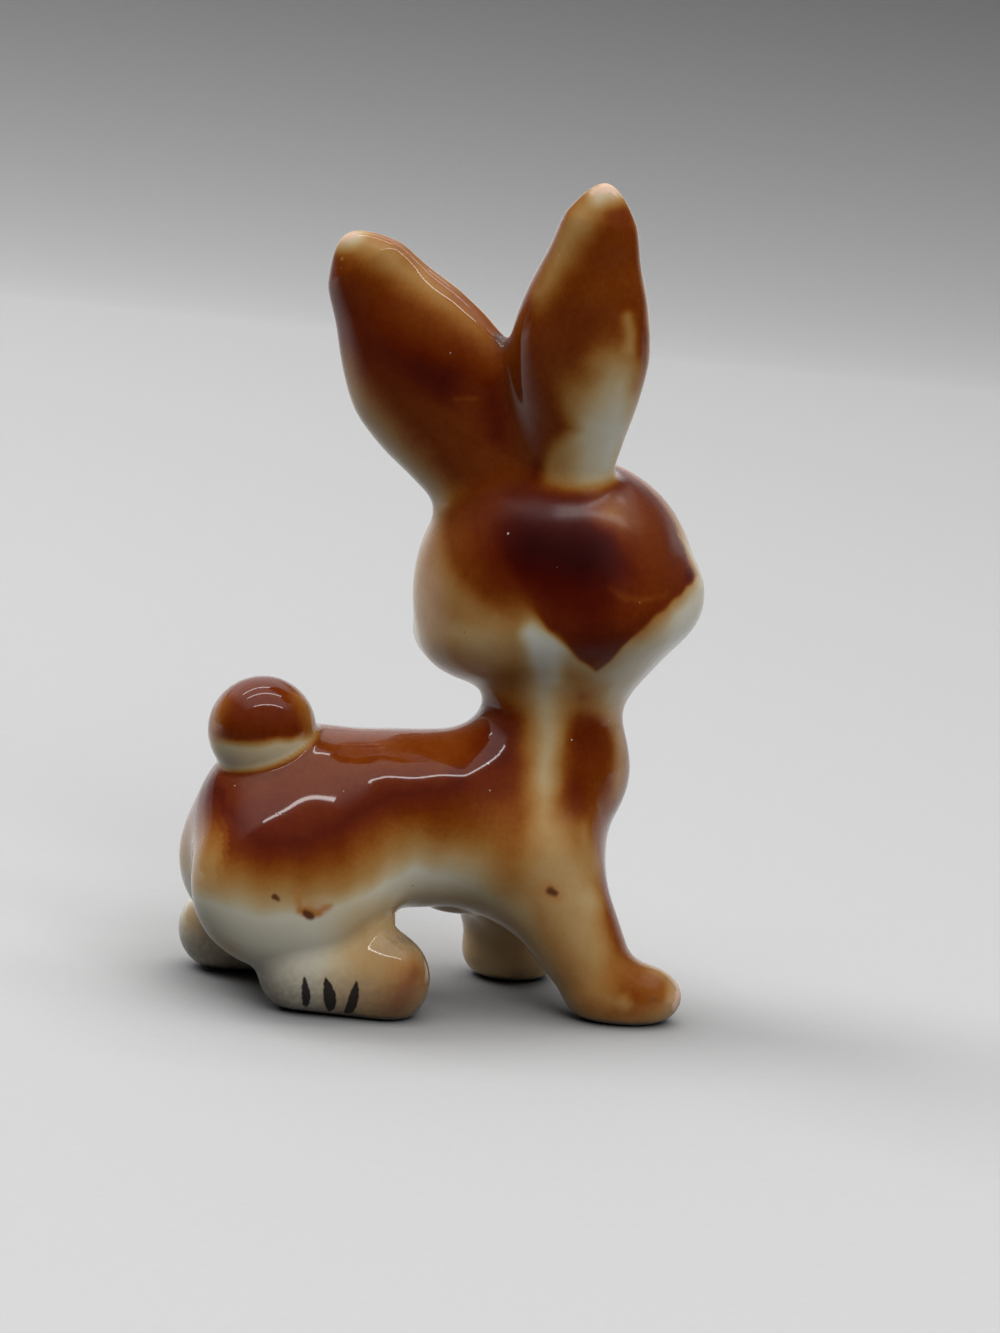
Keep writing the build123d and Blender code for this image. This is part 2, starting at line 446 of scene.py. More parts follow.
FEWEST_CAP_ROWS = 6
FEWEST_BODY_ROWS = 2
FEWEST_AROUND = 24


def core_grid(start, end, girth, step):
    """Rays of a skin, in rows from one pole to the other: a half ball of directions
    round the core's start, directions square to the core along it, and a half ball
    round its end."""
    start, end = np.asarray(start, float), np.asarray(end, float)
    length = np.linalg.norm(end - start)
    along = (end - start) / length
    side = np.cross(along, (0.0, 0.6, 0.8) if abs(along[0]) > 0.8 else (1.0, 0.0, 0.0))
    side /= np.linalg.norm(side)
    other = np.cross(along, side)
    cap = max(int(girth * math.pi / 2 / step), FEWEST_CAP_ROWS)
    body = max(int(length / step), FEWEST_BODY_ROWS)
    tip = np.concatenate([
        np.linspace(-math.pi / 2, 0, cap + 1)[:-1],
        np.zeros(body),
        np.linspace(0, math.pi / 2, cap + 1),
    ])
    place = np.concatenate([np.zeros(cap), np.linspace(0, 1, body + 1)[:-1], np.ones(cap + 1)])
    around = max(int(TAU * girth / step), FEWEST_AROUND)
    turn = np.arange(around) * TAU / around
    ring = np.cos(turn)[:, None] * side + np.sin(turn)[:, None] * other
    ways = np.cos(tip)[:, None, None] * ring[None] + np.sin(tip)[:, None, None] * along
    core = start + place[:, None, None] * (end - start)
    return np.broadcast_to(core, ways.shape), ways


# Ends of an ear's core line: over its root, and behind and under its tip
EAR_CORE_LIFT = 2.2
EAR_CORE_BACK = 0.6
EAR_CORE_SHORT = 4.5


def skin_points(name, step, lap):
    """Points of one piece's skin in rows and rings: each ray's core point and its
    direction times how far it goes."""
    start, end, girth, reach, _ = SKINS[name]
    if name in EARS:
        ear = EARS[name]
        start = ear.foot + ear.axes @ np.array([0, 0, EAR_ROOT + EAR_CORE_LIFT])
        end = ear.foot + ear.axes @ np.array([-EAR_CORE_BACK, 0, ear.length - EAR_CORE_SHORT])
    core, ways = core_grid(start, end, girth, step)
    rows, around, _ = core.shape
    far = fire_rays(skin_field(name, lap), core.reshape(-1, 3), ways.reshape(-1, 3), reach)
    points = core.reshape(-1, 3) + ways.reshape(-1, 3) * far[:, None]
    points[:, 2] = np.maximum(points[:, 2], 0)
    return points.reshape(rows, around, 3)


def smooth_mesh(name, points, faces):
    """A mesh over points in metres, shaded as one smooth surface."""
    mesh = bpy.data.meshes.new(name)
    mesh.from_pydata(points, [], faces)
    mesh.update()
    mesh.polygons.foreach_set("use_smooth", np.ones(len(mesh.polygons), bool))
    return mesh


def show(name, data):
    """An object with its data, in the scene."""
    thing = bpy.data.objects.new(name, data)
    bpy.context.scene.collection.objects.link(thing)
    return thing


def skin_mesh(name, points):
    """A closed mesh over rows of rings: quads between the rows, and one point with a
    fan of triangles at each pole."""
    rows, around, _ = points.shape
    inner = points[1:-1].reshape(-1, 3)
    spots = np.concatenate([points[:1, 0], inner, points[-1:, 0]])
    i = np.arange(rows - 3)[:, None] * around + 1
    j = np.arange(around)[None]
    k = (j + 1) % around
    quads = np.stack([i + j, i + k, i + around + k, i + around + j], -1).reshape(-1, 4)
    last = len(spots) - 1
    top = last - around
    j, k = j[0], k[0]
    first_fan = np.stack([np.zeros_like(j), 1 + k, 1 + j], -1)
    last_fan = np.stack([np.full_like(j, last), top + j, top + k], -1)
    faces = quads.tolist() + first_fan.tolist() + last_fan.tolist()
    return smooth_mesh(name, spots * MM, faces), spots


# The camera that took the photograph. The ground under the body comes to its pixel in
# the picture, at the picture's scale.
PICTURE = (1000, 1333)
BODY_PIXEL = (430.0, 992.0)
BODY_PLACE = np.array([1.9, 0.0, 0.0])
PIXELS_PER_MM = 10.5
CAMERA_AZIMUTH = math.radians(-20)
CAMERA_ELEVATION = math.radians(10)
CAMERA_ROLL = math.radians(5.5)
CAMERA_DISTANCE = 450.0


def camera_axes(azimuth, elevation, roll):
    """Directions to the picture's right, up and towards the camera: the camera's place
    on a ball round the rabbit, turned by the roll."""
    flat = math.cos(elevation)
    back = np.array([math.sin(azimuth) * flat, -math.cos(azimuth) * flat, math.sin(elevation)])
    level = np.array([math.cos(azimuth), math.sin(azimuth), 0.0])
    rise = np.cross(level, -back)
    right = level * math.cos(roll) + rise * math.sin(roll)
    up = -level * math.sin(roll) + rise * math.cos(roll)
    return right, up, back


def camera_place(right, up, back, distance):
    """Where the camera is, in millimetres: out along its line of sight from the point
    that comes to the middle of the picture."""
    across = (BODY_PIXEL[0] - PICTURE[0] / 2) / PIXELS_PER_MM
    above = (PICTURE[1] / 2 - BODY_PIXEL[1]) / PIXELS_PER_MM
    return BODY_PLACE - across * right - above * up + distance * back


def figure(p):
    """The value of the soft join of all the lumps."""
    whole = None
    for _, lump, soft in FIGURE:
        d = lump(p)
        whole = d if whole is None else join(whole, d, soft)
    return whole


# The walk of a ray: how far before the body it starts, its steps as a share of the
# value, the shortest and longest of them, and the most steps
WALK_BEFORE = 60.0
WALK_SHARE = 0.6
WALK_LEAST = 0.02
WALK_MOST = 3.0
WALK_STEPS = 260


def on_figure(pixels):
    """The places on the figure that lie behind pixels of the photograph. A ray goes from
    the camera through each, by steps of a share of the figure's value, until that is
    nearly nought. A ray that misses ends where the value is least."""
    pixels = np.asarray(pixels, float)
    right, up, back = camera_axes(CAMERA_AZIMUTH, CAMERA_ELEVATION, CAMERA_ROLL)
    eye = camera_place(right, up, back, CAMERA_DISTANCE)
    reach = CAMERA_DISTANCE * PIXELS_PER_MM
    across = (pixels[:, :1] - PICTURE[0] / 2) / reach
    above = (PICTURE[1] / 2 - pixels[:, 1:]) / reach
    ways = across * right + above * up - back
    ways /= np.linalg.norm(ways, axis=1, keepdims=True)
    gone = np.full(len(ways), CAMERA_DISTANCE - WALK_BEFORE)
    least = np.full(len(ways), FAR)
    best = gone.copy()
    for _ in range(WALK_STEPS):
        value = figure(eye + ways * gone[:, None])
        nearer = value < least
        best = np.where(nearer, gone, best)
        least = np.where(nearer, value, least)
        gone += np.where(least < WALK_LEAST, 0, np.clip(value * WALK_SHARE, WALK_LEAST, WALK_MOST))
    return eye + ways * best[:, None]


def placed(strokes):
    """Strokes on the photograph, laid on the figure. Each is a softness and a chain of
    rows: the pixel's x and y, the radius in millimetres and the thickness. A row of five
    numbers lies where the camera doesn't see, and has its place already."""
    seen = [row[:2] for _, chain in strokes for row in chain if len(row) == 4]
    spots = iter(on_figure(seen))
    return [
        (soft, [(*(next(spots) if len(row) == 4 else row[:3]), *row[-2:]) for row in chain])
        for soft, chain in strokes
    ]


# Paint. The spray's thickness runs from nought, bare glaze, to 1.2, nearly black. Each
# function gives it at every point of a skin, in the figure's millimetres.
THICKEST = 1.2


def wander(p, length, reach):
    """The points moved about by sine waves of one length, and of a share of it, for
    edges drawn by hand."""
    dice = np.random.default_rng(int(length * 10))
    out = p.copy()
    for axis in range(3):
        for share in (1.0, 0.57):
            way = dice.normal(size=3)
            way *= TAU / (length * share) / np.linalg.norm(way)
            out[:, axis] += np.sin(p @ way + dice.uniform(0, TAU)) * reach * share
    return out


def brushed(p, spray, strokes):
    """Strokes laid one over the other. Each is a softness and a chain of places, every
    one with a radius and a thickness. The nearest link of the chain rules: inside its
    radius the spray turns to its thickness, easing off over the softness at its edge."""
    for soft, chain in strokes:
        chain = np.asarray(chain, float)
        links = list(zip(chain[:-1], chain[1:])) or [(chain[0], chain[0])]
        best = np.full(len(p), FAR)
        tone = np.zeros(len(p))
        for a, b in links:
            along = b[:3] - a[:3]
            h = np.clip((p - a[:3]) @ along / max(along @ along, TINY), 0, 1)
            off = np.linalg.norm(p - a[:3] - h[:, None] * along, axis=1)
            d = off - (a[3] + (b[3] - a[3]) * h)
            near = d < best
            best = np.where(near, d, best)
            tone = np.where(near, a[4] + (b[4] - a[4]) * h, tone)
        spray = laid(spray, tone, ramp(best, soft, -soft))
    return spray


# Spray thicknesses from the belly up the flank, and pixels of the photograph on the line
# along which each lies
FLANK_LEVELS = tuple((tone, on_figure(line)) for tone, line in (
    (0.05, ((200, 900), (250, 915), (300, 914), (345, 906), (385, 885), (415, 868), (450, 880),
        (480, 892))),
    (0.31, ((192, 880), (230, 893), (262, 899), (300, 899), (350, 892), (390, 864), (415, 852),
        (450, 856), (475, 858))),
    (0.5, ((189, 836), (217, 874), (255, 888), (300, 889), (350, 882), (385, 852), (410, 840),
        (450, 846), (475, 846))),
    (0.66, ((190, 812), (222, 860), (258, 877), (300, 877), (350, 864), (380, 840), (405, 828),
        (445, 836), (470, 832))),
    (0.84, ((196, 792), (227, 842), (260, 858), (300, 859), (340, 846), (370, 823), (400, 812),
        (440, 812), (470, 802))),
    (0.93, ((203, 778), (229, 820), (258, 838), (300, 842), (335, 828), (368, 806), (400, 792),
        (440, 790), (470, 780))),
    # The top row is thinner than the one under it, so the back's ridge is paler: partly the glaze
    # thinning there, partly a painted sheen for the light that the back reflects
    (0.8, ((300, 774), (350, 771), (400, 765), (440, 763), (470, 752))),
))

# Strokes on the body's side: the cream stripe down the neck and the front leg between its
# brown edges, the paw, and the toes of the hind foot
SIDE_STROKES = placed((
    # belly and shoulder warmth
    (2.6, ((505, 775, 2.4, 0.8), (510, 812, 2.2, 0.71), (512, 850, 2.2, 0.64), (514, 880, 1.8, 0.56))),
    # brown at the left of the neck
    (1.8, ((512, 690, 1.0, 0.66), (503, 715, 1.5, 0.86), (497, 750, 2.0, 0.93), (490, 775, 1.8, 0.88))),
    # front of the neck and breast
    (1.8, ((618, 700, 2.0, 0.42), (620, 740, 2.0, 0.48), (618, 790, 1.6, 0.52))),
    (2.0, ((585, 700, 1.7, 0.76), (590, 735, 2.2, 0.88), (594, 770, 1.8, 0.82), (598, 812, 1.2, 0.7))),
    # the stripe
    (2.0, ((545, 660, 1.7, 0.03), (545, 690, 1.6, 0.14), (545, 730, 1.35, 0.22),
        (545, 775, 1.45, 0.26), (547, 820, 1.2, 0.3), (556, 865, 1.8, 0.34), (568, 905, 2.6, 0.33),
        (583, 950, 2.8, 0.36), (595, 985, 2.4, 0.42))),
    (1.4, ((548, 700, 0.5, 0.16), (548, 780, 0.6, 0.22))),
    # between the stripe and the brown front edge
    (1.6, ((584, 835, 0.8, 0.44), (590, 880, 1.0, 0.42))),
    # back edge of the leg
    (1.8, ((530, 895, 0.9, 0.48), (550, 935, 1.0, 0.5), (572, 978, 1.0, 0.56),
        (588, 1005, 1.2, 0.6))),
    # front edge of the leg
    (1.7, ((606, 825, 1.2, 0.76), (606, 870, 1.6, 0.8), (612, 915, 1.9, 0.78),
        (622, 945, 1.9, 0.74), (636, 968, 1.8, 0.68))),
    # front of the leg, past what the camera sees
    (2.2, ((13.6, -6.4, 17.5, 1.8, 0.72), (14.4, -7.0, 14.2, 2.1, 0.8),
        (15.7, -8.0, 11.0, 2.0, 0.8), (16.8, -9.0, 8.0, 1.8, 0.74))),
    # paw
    (1.8, ((628, 985, 2.2, 0.68), (655, 990, 2.6, 0.66), (640, 1008, 2.4, 0.62),
        (612, 1012, 1.8, 0.62))),
    (1.2, ((632, 1000, 1.2, 0.76), (655, 985, 1.4, 0.7))),
    (0.8, ((622, 1000, 0.5, 0.44), (626, 1006, 0.5, 0.44))),
    (0.9, ((674, 1000, 0.8, 0.36), (678, 990, 0.7, 0.32))),
    # toes of the hind foot, then a light brown wash on the far hind foot: partly its tan paint, partly
    # painted shade where the body shades it
    (2.0, ((384, 966, 1.8, 0.36), (410, 980, 2.2, 0.74), (398, 1002, 2.0, 0.66))),
    (1.6, ((200, 925, 1.6, 0.22), (225, 950, 1.6, 0.24))),
))

# How much farther ahead and out the right front leg's wrist is than the left one's, and
# the heights of shoulder and wrist
WRIST_AHEAD = 4.0
WRIST_OUT = 2.9
SHOULDER_HEIGHT = 15
WRIST_HEIGHT = 4


def lift_left(p):
    """Every point on the right side, with the left front leg laid over the right one:
    moved ahead and out more and more from the shoulder down to the wrist."""
    q = p.copy()
    left = q[:, 1] > 0
    q[:, 1] = -np.abs(q[:, 1])
    down = np.clip((SHOULDER_HEIGHT - q[:, 2]) / (SHOULDER_HEIGHT - WRIST_HEIGHT), 0, 1)
    down = down * ramp(q[:, 0], 2, 6) * left
    q[:, 0] += WRIST_AHEAD * down
    q[:, 1] -= WRIST_OUT * down
    return q


LEG_WARMTH = 0.24
THINNEST_BAND = 0.2


def spray_body(p):
    """Brown from above that fades down the flank: in even steps between the lines on
    which each thickness lies, with the side's strokes over it."""
    q = wander(lift_left(p), 6.0, 0.18)
    spray = np.full(len(q), FLANK_LEVELS[0][0])
    levels = [(tone, np.interp(q[:, 0], line[:, 0], line[:, 2])) for tone, line in FLANK_LEVELS]
    for (tone, height), (next_tone, next_height) in zip(levels, levels[1:]):
        band = np.maximum(next_height - height, THINNEST_BAND)
        spray += (next_tone - tone) * np.clip((q[:, 2] - height) / band, 0, 1)
    warm = ramp(q[:, 0], -14, -8) * ramp(q[:, 2], 13, 8) * LEG_WARMTH
    return brushed(q, spray + warm, SIDE_STROKES)


# Strokes on the head under the brown cap, and over it
HEAD_STROKES = placed((
    # left part of the head
    (3.0, ((452, 520, 2.2, 0.74), (450, 545, 2.4, 0.72), (470, 575, 2.4, 0.7), (500, 600, 2.0, 0.66))),
    (2.4, ((430, 545, 2.0, 0.6), (426, 580, 2.2, 0.58), (438, 606, 2.2, 0.54),
        (465, 618, 1.6, 0.5), (490, 628, 1.2, 0.42))),
    (2.2, ((424, 612, 1.6, 0.38), (432, 635, 2.0, 0.36), (455, 645, 1.8, 0.32), (485, 655, 1.6, 0.28))),
    (1.8, ((448, 668, 1.2, 0.1), (478, 678, 1.2, 0.1))),
    (2.0, ((510, 640, 1.3, 0.4), (514, 665, 1.4, 0.46), (512, 690, 1.2, 0.58))),
    (2.0, ((572, 668, 1.0, 0.34), (583, 695, 1.6, 0.66))),
    (0.8, ((452, 612, 0.5, 0.5), (457, 610, 0.4, 0.5))),
    # pale lower right
    (1.8, ((640, 690, 2.6, 0.05), (690, 620, 3.0, 0.05), (705, 590, 2.0, 0.1))),
))
CAP_STROKES = placed((
    # the cap's soft left part
    (3.2, ((475, 505, 2.4, 0.82), (478, 540, 2.6, 0.84), (495, 575, 2.6, 0.84), (520, 600, 1.4, 0.8))),
    (3.6, ((535, 545, 3.0, 1.12), (585, 560, 3.2, 1.12))),
    (1.8, ((590, 600, 1.6, 0.96), (598, 640, 1.0, 0.94))),
    (2.6, ((640, 515, 3.0, 0.8), (660, 570, 2.6, 0.82), (640, 610, 1.8, 0.84))),
    (1.8, ((612, 512, 1.4, 0.66), (622, 520, 1.0, 0.68))),
    # white spot
    (1.0, ((531, 636, 1.0, 0.0), (545, 652, 1.7, 0.0), (548, 676, 1.3, 0.03))),
    # a faint pale line: a painted hairline reflection
    (0.45, ((612, 588, 0.1, 0.74), (628, 600, 0.12, 0.7), (650, 600, 0.1, 0.72),
        (668, 592, 0.08, 0.76))),
    # marks at the right edge
    (0.3, ((679, 535, 0.35, 0.42), (683, 541, 0.3, 0.42))),
    (0.3, ((683, 546, 0.3, 0.98), (686, 556, 0.4, 0.98))),
    (0.5, ((690, 578, 0.5, 0.95), (694, 574, 0.4, 0.95))),
))

# The cap's lowest point, and the directions square to its two cut edges
PATCH_POINT = np.array([11.8, -9.1, 33.2])
PATCH_RIGHT = np.array([-0.656, 0.363, 0.662])
PATCH_LEFT = np.array([0.595, -0.066, 0.802])
HEAD_SPRAY = 0.14
HALO_SPRAY = 0.34
CAP_SPRAY = 0.88
MUZZLE_SPRAY = 0.08
CHEEK_SPRAY = 0.10
BROW_SPRAY = 0.60


def spray_head(p):
    """Cream, with a brown cap whose lower edges are two straight cuts that meet in a
    point at the back: crisp at the point, softer to the left, and each with a paler halo
    under it. The face keeps cream."""
    q = wander(p, 4.0, 0.12)
    local = (q - HEAD_MIDDLE) @ HEAD_AXES
    spray = brushed(q, np.full(len(q), HEAD_SPRAY), HEAD_STROKES)
    right = (q - PATCH_POINT) @ PATCH_RIGHT
    left = (q - PATCH_POINT) @ PATCH_LEFT
    away = np.maximum(PATCH_POINT[0] - q[:, 0] - 5.0, 0)
    halo = ramp(right, -1.5, 0.4) * ramp(left, -0.6 - 0.3 * away, 0.6 + 0.7 * away)
    cap = ramp(right, -0.25, 0.25) * ramp(left, -0.25 - 0.35 * away, 0.25 + 0.95 * away)
    side = ramp(q[:, 0] + 0.5 * (q[:, 2] - 40), 0, 5)
    back = ramp(local[:, 0], 3, 0)
    spray = laid(spray, np.maximum(spray, HALO_SPRAY), halo * back * side)
    spray = laid(spray, CAP_SPRAY, cap * back * side)
    spray = brushed(q, spray, CAP_STROKES)
    face = MUZZLE_SPRAY + CHEEK_SPRAY * ramp(local[:, 2], -1, 4)
    face = face + BROW_SPRAY * ramp(local[:, 2], 3.5, 9)
    return laid(face, spray, back)


# Strokes on the backs of the ears
EAR_STROKES = {
    "right_ear": placed((
        (2.2, ((585, 212, 1.2, 0.32), (564, 250, 1.3, 0.4), (542, 288, 1.2, 0.47),
            (518, 322, 1.0, 0.55))), (2.8, ((624, 250, 1.5, 0.8), (606, 290, 1.8, 0.76),
            (578, 322, 2.0, 0.82))), (2.4, ((560, 388, 1.0, 0.66), (553, 430, 1.2, 0.58),
            (550, 470, 1.0, 0.52))), (3.0, ((610, 372, 1.6, 0.3), (602, 410, 2.8, 0.22),
            (590, 440, 3.0, 0.2), (584, 472, 2.4, 0.2))), (2.2, ((622, 385, 1.4, 0.12),
            (614, 430, 2.4, 0.03), (606, 462, 2.0, 0.04))), (0.8, ((627, 318, 0.35, 0.4),
            (629, 350, 0.5, 0.34))), (1.6, ((516, 365, 1.0, 0.92), (525, 410, 1.3, 1.0),
            # the last two strokes: a pale tip, partly wear and partly a painted highlight, and a tiny
            # pale dot under it, a painted glint
            (530, 450, 1.2, 1.0), (534, 476, 0.6, 0.94))), (1.0, ((600, 192, 1.2, 0.1),
            (614, 190, 1.2, 0.1))), (0.14, ((618, 228, 0.12, 0.05),)),
    )),
    "left_ear": placed((
        (2.2, ((356, 240, 1.0, 0.3), (388, 256, 1.1, 0.38), (423, 281, 1.1, 0.42),
            (458, 311, 0.9, 0.5), (488, 338, 0.5, 0.6))), (2.6, ((345, 300, 1.6, 0.88),
            (375, 345, 2.0, 0.91), (415, 365, 2.0, 0.94), (450, 380, 1.8, 0.94))),
            (1.8, ((425, 368, 0.8, 0.96), (445, 380, 0.8, 0.98))), (1.8, ((492, 390, 1.0, 0.94),
            (497, 430, 1.0, 0.94))), (3.0, ((346, 370, 0.6, 0.46), (366, 415, 1.6, 0.36),
            (390, 450, 2.2, 0.3), (416, 480, 2.2, 0.26), (436, 502, 1.8, 0.26))),
            (2.4, ((352, 400, 0.6, 0.16), (378, 440, 1.3, 0.12), (404, 472, 1.7, 0.06),
            (430, 503, 1.5, 0.06))), (0.3, ((458, 398, 0.18, 0.74), (478, 396, 0.12, 0.74))),
            # the last two strokes: a pale tip, partly wear and partly a painted highlight, and a tiny
            # pale dot under it, a painted glint
            (0.5, ((500, 338, 0.4, 0.95),)), (1.0, ((343, 238, 0.9, 0.14), (354, 236, 1.0, 0.12))),
            (0.14, ((343, 258, 0.12, 0.05),)),
    )),
}
EAR_SPRAY = 0.80
INSIDE_SPRAY = 0.10
INSIDE_TIP_SPRAY = 0.20


def spray_ear(name, p):
    """Brown on the back of the ear, with its strokes, and pale inside: the two meet in
    a soft line along the rim."""
    q = wander(p, 4.5, 0.15)
    local = EARS[name].local(q)
    up = local[:, 2] / EARS[name].length
    spray = brushed(q, np.full(len(q), EAR_SPRAY), EAR_STROKES[name])
    inside = laid(INSIDE_SPRAY, INSIDE_TIP_SPRAY, ramp(up, 0.6, 0.9))
    return laid(spray, inside, ramp(local[:, 0], -0.6, 1.6))


# Strokes on the tail, and the line where its chestnut meets the cream band: a place on
# it, ahead and up, and its slope
TAIL_STROKES = placed((
    (1.6, ((303, 700, 1.4, 0.62), (312, 722, 1.2, 0.56))),
    (1.8, ((218, 705, 1.2, 0.64), (212, 728, 0.8, 0.52))),
))
TAIL_LINE_PLACE = (-19.6, 24.7)
TAIL_LINE_SLOPE = 0.16
TAIL_LINE_SOFT = 0.6
TAIL_BAND = 0.15
TAIL_TOP = 0.86


def spray_tail(p):
    """Chestnut above a slanting line, a cream band below it."""
    q = wander(p, 4.0, 0.10)
    line = TAIL_LINE_PLACE[1] + TAIL_LINE_SLOPE * (q[:, 0] - TAIL_LINE_PLACE[0])
    above = ramp(q[:, 2] - line, -TAIL_LINE_SOFT, TAIL_LINE_SOFT)
    spray = laid(TAIL_BAND, TAIL_TOP, above)
    return brushed(q, spray, TAIL_STROKES)


# Peach blush, worn places that on the ear tips are also painted highlights, and painted shade with a
# few dark marks: strokes over nought
PEACH_STROKES = placed((
    (2.4, ((412, 948, 2.2, 0.1), (405, 975, 2.2, 0.15), (418, 1000, 1.6, 0.1))),
    (2.0, ((335, 990, 1.2, 0.25), (360, 1000, 1.8, 0.4))),
    (1.8, ((300, 985, 1.6, 0.15), (280, 990, 1.6, 0.15))),
    (1.8, ((525, 950, 1.8, 0.85), (540, 965, 1.6, 0.7))),
    (2.0, ((195, 920, 1.8, 0.35), (210, 945, 2.0, 0.4), (235, 960, 1.6, 0.4))),
    (2.4, ((428, 560, 1.6, 0.4), (430, 610, 2.0, 0.4))),
    (0.8, ((676, 985, 0.8, 0.6), (672, 1002, 0.8, 0.5))),
    (0.8, ((598, 192, 0.8, 0.35), (612, 188, 0.8, 0.35))),
    (0.8, ((340, 240, 0.7, 0.4), (350, 236, 0.6, 0.3))),
))
# Worn places on the paw's toe, the ear tips and the left ear's rim. On the ear tips the worn colour is
# also a painted highlight
WEAR_AND_HIGHLIGHT_STROKES = placed((
    (0.7, ((678, 988, 0.7, 0.9), (676, 1004, 0.8, 0.9))),
    (1.2, ((596, 190, 0.9, 0.8), (610, 186, 1.0, 0.9), (624, 196, 0.7, 0.7))),
    (1.2, ((340, 238, 0.9, 0.7), (352, 236, 0.9, 0.8))),
    (0.5, ((372, 240, 0.3, 0.5), (440, 288, 0.3, 0.4))),
))
# Painted shade: under the belly between the legs, the contact shadow along the bottom of the hind foot
# and the crease over its toes. Also a dark spot in the V between the ears and thin dark lines on the
# paw's toes
SHADE_AND_SMUDGE_STROKES = placed((
    (0.6, ((499, 338, 0.5, 0.9), (507, 345, 0.4, 0.9))),
    (0.8, ((478, 965, 0.5, 0.35), (520, 975, 0.5, 0.35))),
    (0.3, ((664, 977, 0.1, 0.75), (676, 990, 0.1, 0.75))),
    (0.3, ((650, 999, 0.1, 0.6), (672, 1007, 0.12, 0.75))),
    (1.0, ((250, 985, 0.5, 0.5), (300, 1005, 0.6, 0.6), (350, 1012, 0.6, 0.6), (400, 1011, 0.6, 0.6),
        (430, 1000, 0.5, 0.5))),
    (2.4, ((385, 950, 0.6, 0.45), (402, 940, 1.2, 0.8), (418, 942, 1.2, 0.85), (424, 958, 0.8, 0.6))),
))


# How far to each side of its joint the spray of the head, an ear or the tail runs into
# the rest, and the distance past which the rest counts no more beside an ear
HEAD_SOFT = 2.0
EAR_SOFT = 1.0
TAIL_SOFT = 0.45
EAR_FAR = 6.0


def spray_figure(p):
    """The spray all over the figure: each part's own, shared out by how near its lumps
    are, so that the spray runs on across the joints."""
    lumps = {name: field(p) for name, field, _ in FIGURE}
    body = np.minimum.reduce([lumps[n] for n in lumps if n not in ("head", "tail", *EARS)])
    spray = spray_body(p)
    spray = laid(spray, spray_head(p), ramp(body - lumps["head"], -HEAD_SOFT, HEAD_SOFT))
    upper = np.minimum(np.minimum(lumps["head"], body), EAR_FAR)
    for name in EARS:
        share = ramp(upper - lumps[name], -EAR_SOFT, EAR_SOFT)
        spray = laid(spray, spray_ear(name, p), share)
    return laid(spray, spray_tail(p), ramp(body - lumps["tail"], -TAIL_SOFT, TAIL_SOFT))


# Painted shade on the hind feet, darkest at the ground
HIND_FEET_SHADE = 0.48


def skin_paint(p):
    """All that is painted on a skin, as one number a point for each coat. The hind feet get painted
    shade from the ground up, with the other shade strokes laid over it."""
    none = np.zeros(len(p))
    # Painted shade on the hind feet, from the ground up
    foot_shade = HIND_FEET_SHADE * ramp(p[:, 2], 7, 2) * ramp(p[:, 0], 2, -2)
    return {
        "spray": np.clip(spray_figure(p), 0, THICKEST),
        "peach": brushed(p, none, PEACH_STROKES),
        "worn": brushed(p, none, WEAR_AND_HIGHLIGHT_STROKES),
        "smudge": brushed(p, foot_shade, SHADE_AND_SMUDGE_STROKES),
    }


def add_skin(name, material, step, lap):
    """Makes one piece's painted skin, and lets it stand for its CAD node."""
    mesh, spots = skin_mesh(name + "_skin", skin_points(name, step, lap))
    for coat, values in skin_paint(spots).items():
        layer = mesh.attributes.new(coat, "FLOAT", "POINT")
        layer.data.foreach_set("value", values.astype(np.float32))
    mesh.materials.append(material)
    piece = show(name + "_skin", mesh)
    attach(piece, "root")
    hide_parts(name)
    return piece


# Properties


def colour(name, description, default):
    """A colour that a user may change, in linear light."""
    return FloatVectorProperty(
        name=name, description=description, default=default, subtype="COLOR", size=3, min=0, max=1
    )


def length(name, description, default, least=0.1 * MM):
    """A length that a user may change."""
    return FloatProperty(name=name, description=description, default=default, min=least, unit="LENGTH")


def fraction(name, description, default):
    """A number from nought to one that a user may change."""
    return FloatProperty(
        name=name, description=description, default=default, min=0, max=1, subtype="FACTOR"
    )


def strength(name, description, default, unit="NONE"):
    """A strength or a power of light that a user may change."""
    return FloatProperty(name=name, description=description, default=default, min=0, unit=unit)


def angle(name, description, default):
    """An angle that a user may change."""
    return FloatProperty(name=name, description=description, default=default, subtype="ANGLE")


class RABBIT_PG_clay(bpy.types.PropertyGroup):
    """Sizes of the skins"""

    step: length("Grid step", "Distance between neighbouring points of a skin", 0.26 * MM)
    quick_step: length("Quick grid step", "The same distance while trying things out", 0.5 * MM)
    lap: length("Lap", "How far a skin runs on inside its neighbour past their joint", 1.3 * MM)


class RABBIT_PG_glaze(bpy.types.PropertyGroup):
    """Colours and gloss of the glaze"""

    white: colour("White", "Bare glaze over the white clay", (0.63, 0.635, 0.57))
    spray: colour("Spray", "Share of light that one coat of spray lets through", (0.32, 0.076, 0.0075))
    peach: colour("Peach", "Blush on toes and cheeks", (0.56, 0.34, 0.185))
    orange: colour("Orange", "Thin rust stains", (0.42, 0.17, 0.040))
    umber: colour("Umber", "Dark stains and specks", (0.100, 0.028, 0.010))
    ink: colour("Ink", "Claws, eyes and mouth", (0.012, 0.009, 0.009))
    # Worn clay, also laid on the ear tips as a painted highlight
    worn: colour("Wear and highlight", "Clay where the glaze is rubbed thin, and painted highlight on the ear tips", (0.70, 0.47, 0.36))
    # Painted shade at the feet, along the soles and in creases, and a few dark marks
    shade_and_smudge_tone: colour("Shade and smudges", "Painted shade at the feet and in the creases, and dark smudges", (0.085, 0.070, 0.062))
    gloss: fraction("Body roughness", "Roughness under the clear coat", 0.32)
    coat_roughness: fraction("Coat roughness", "Roughness of the clear coat", 0.05)


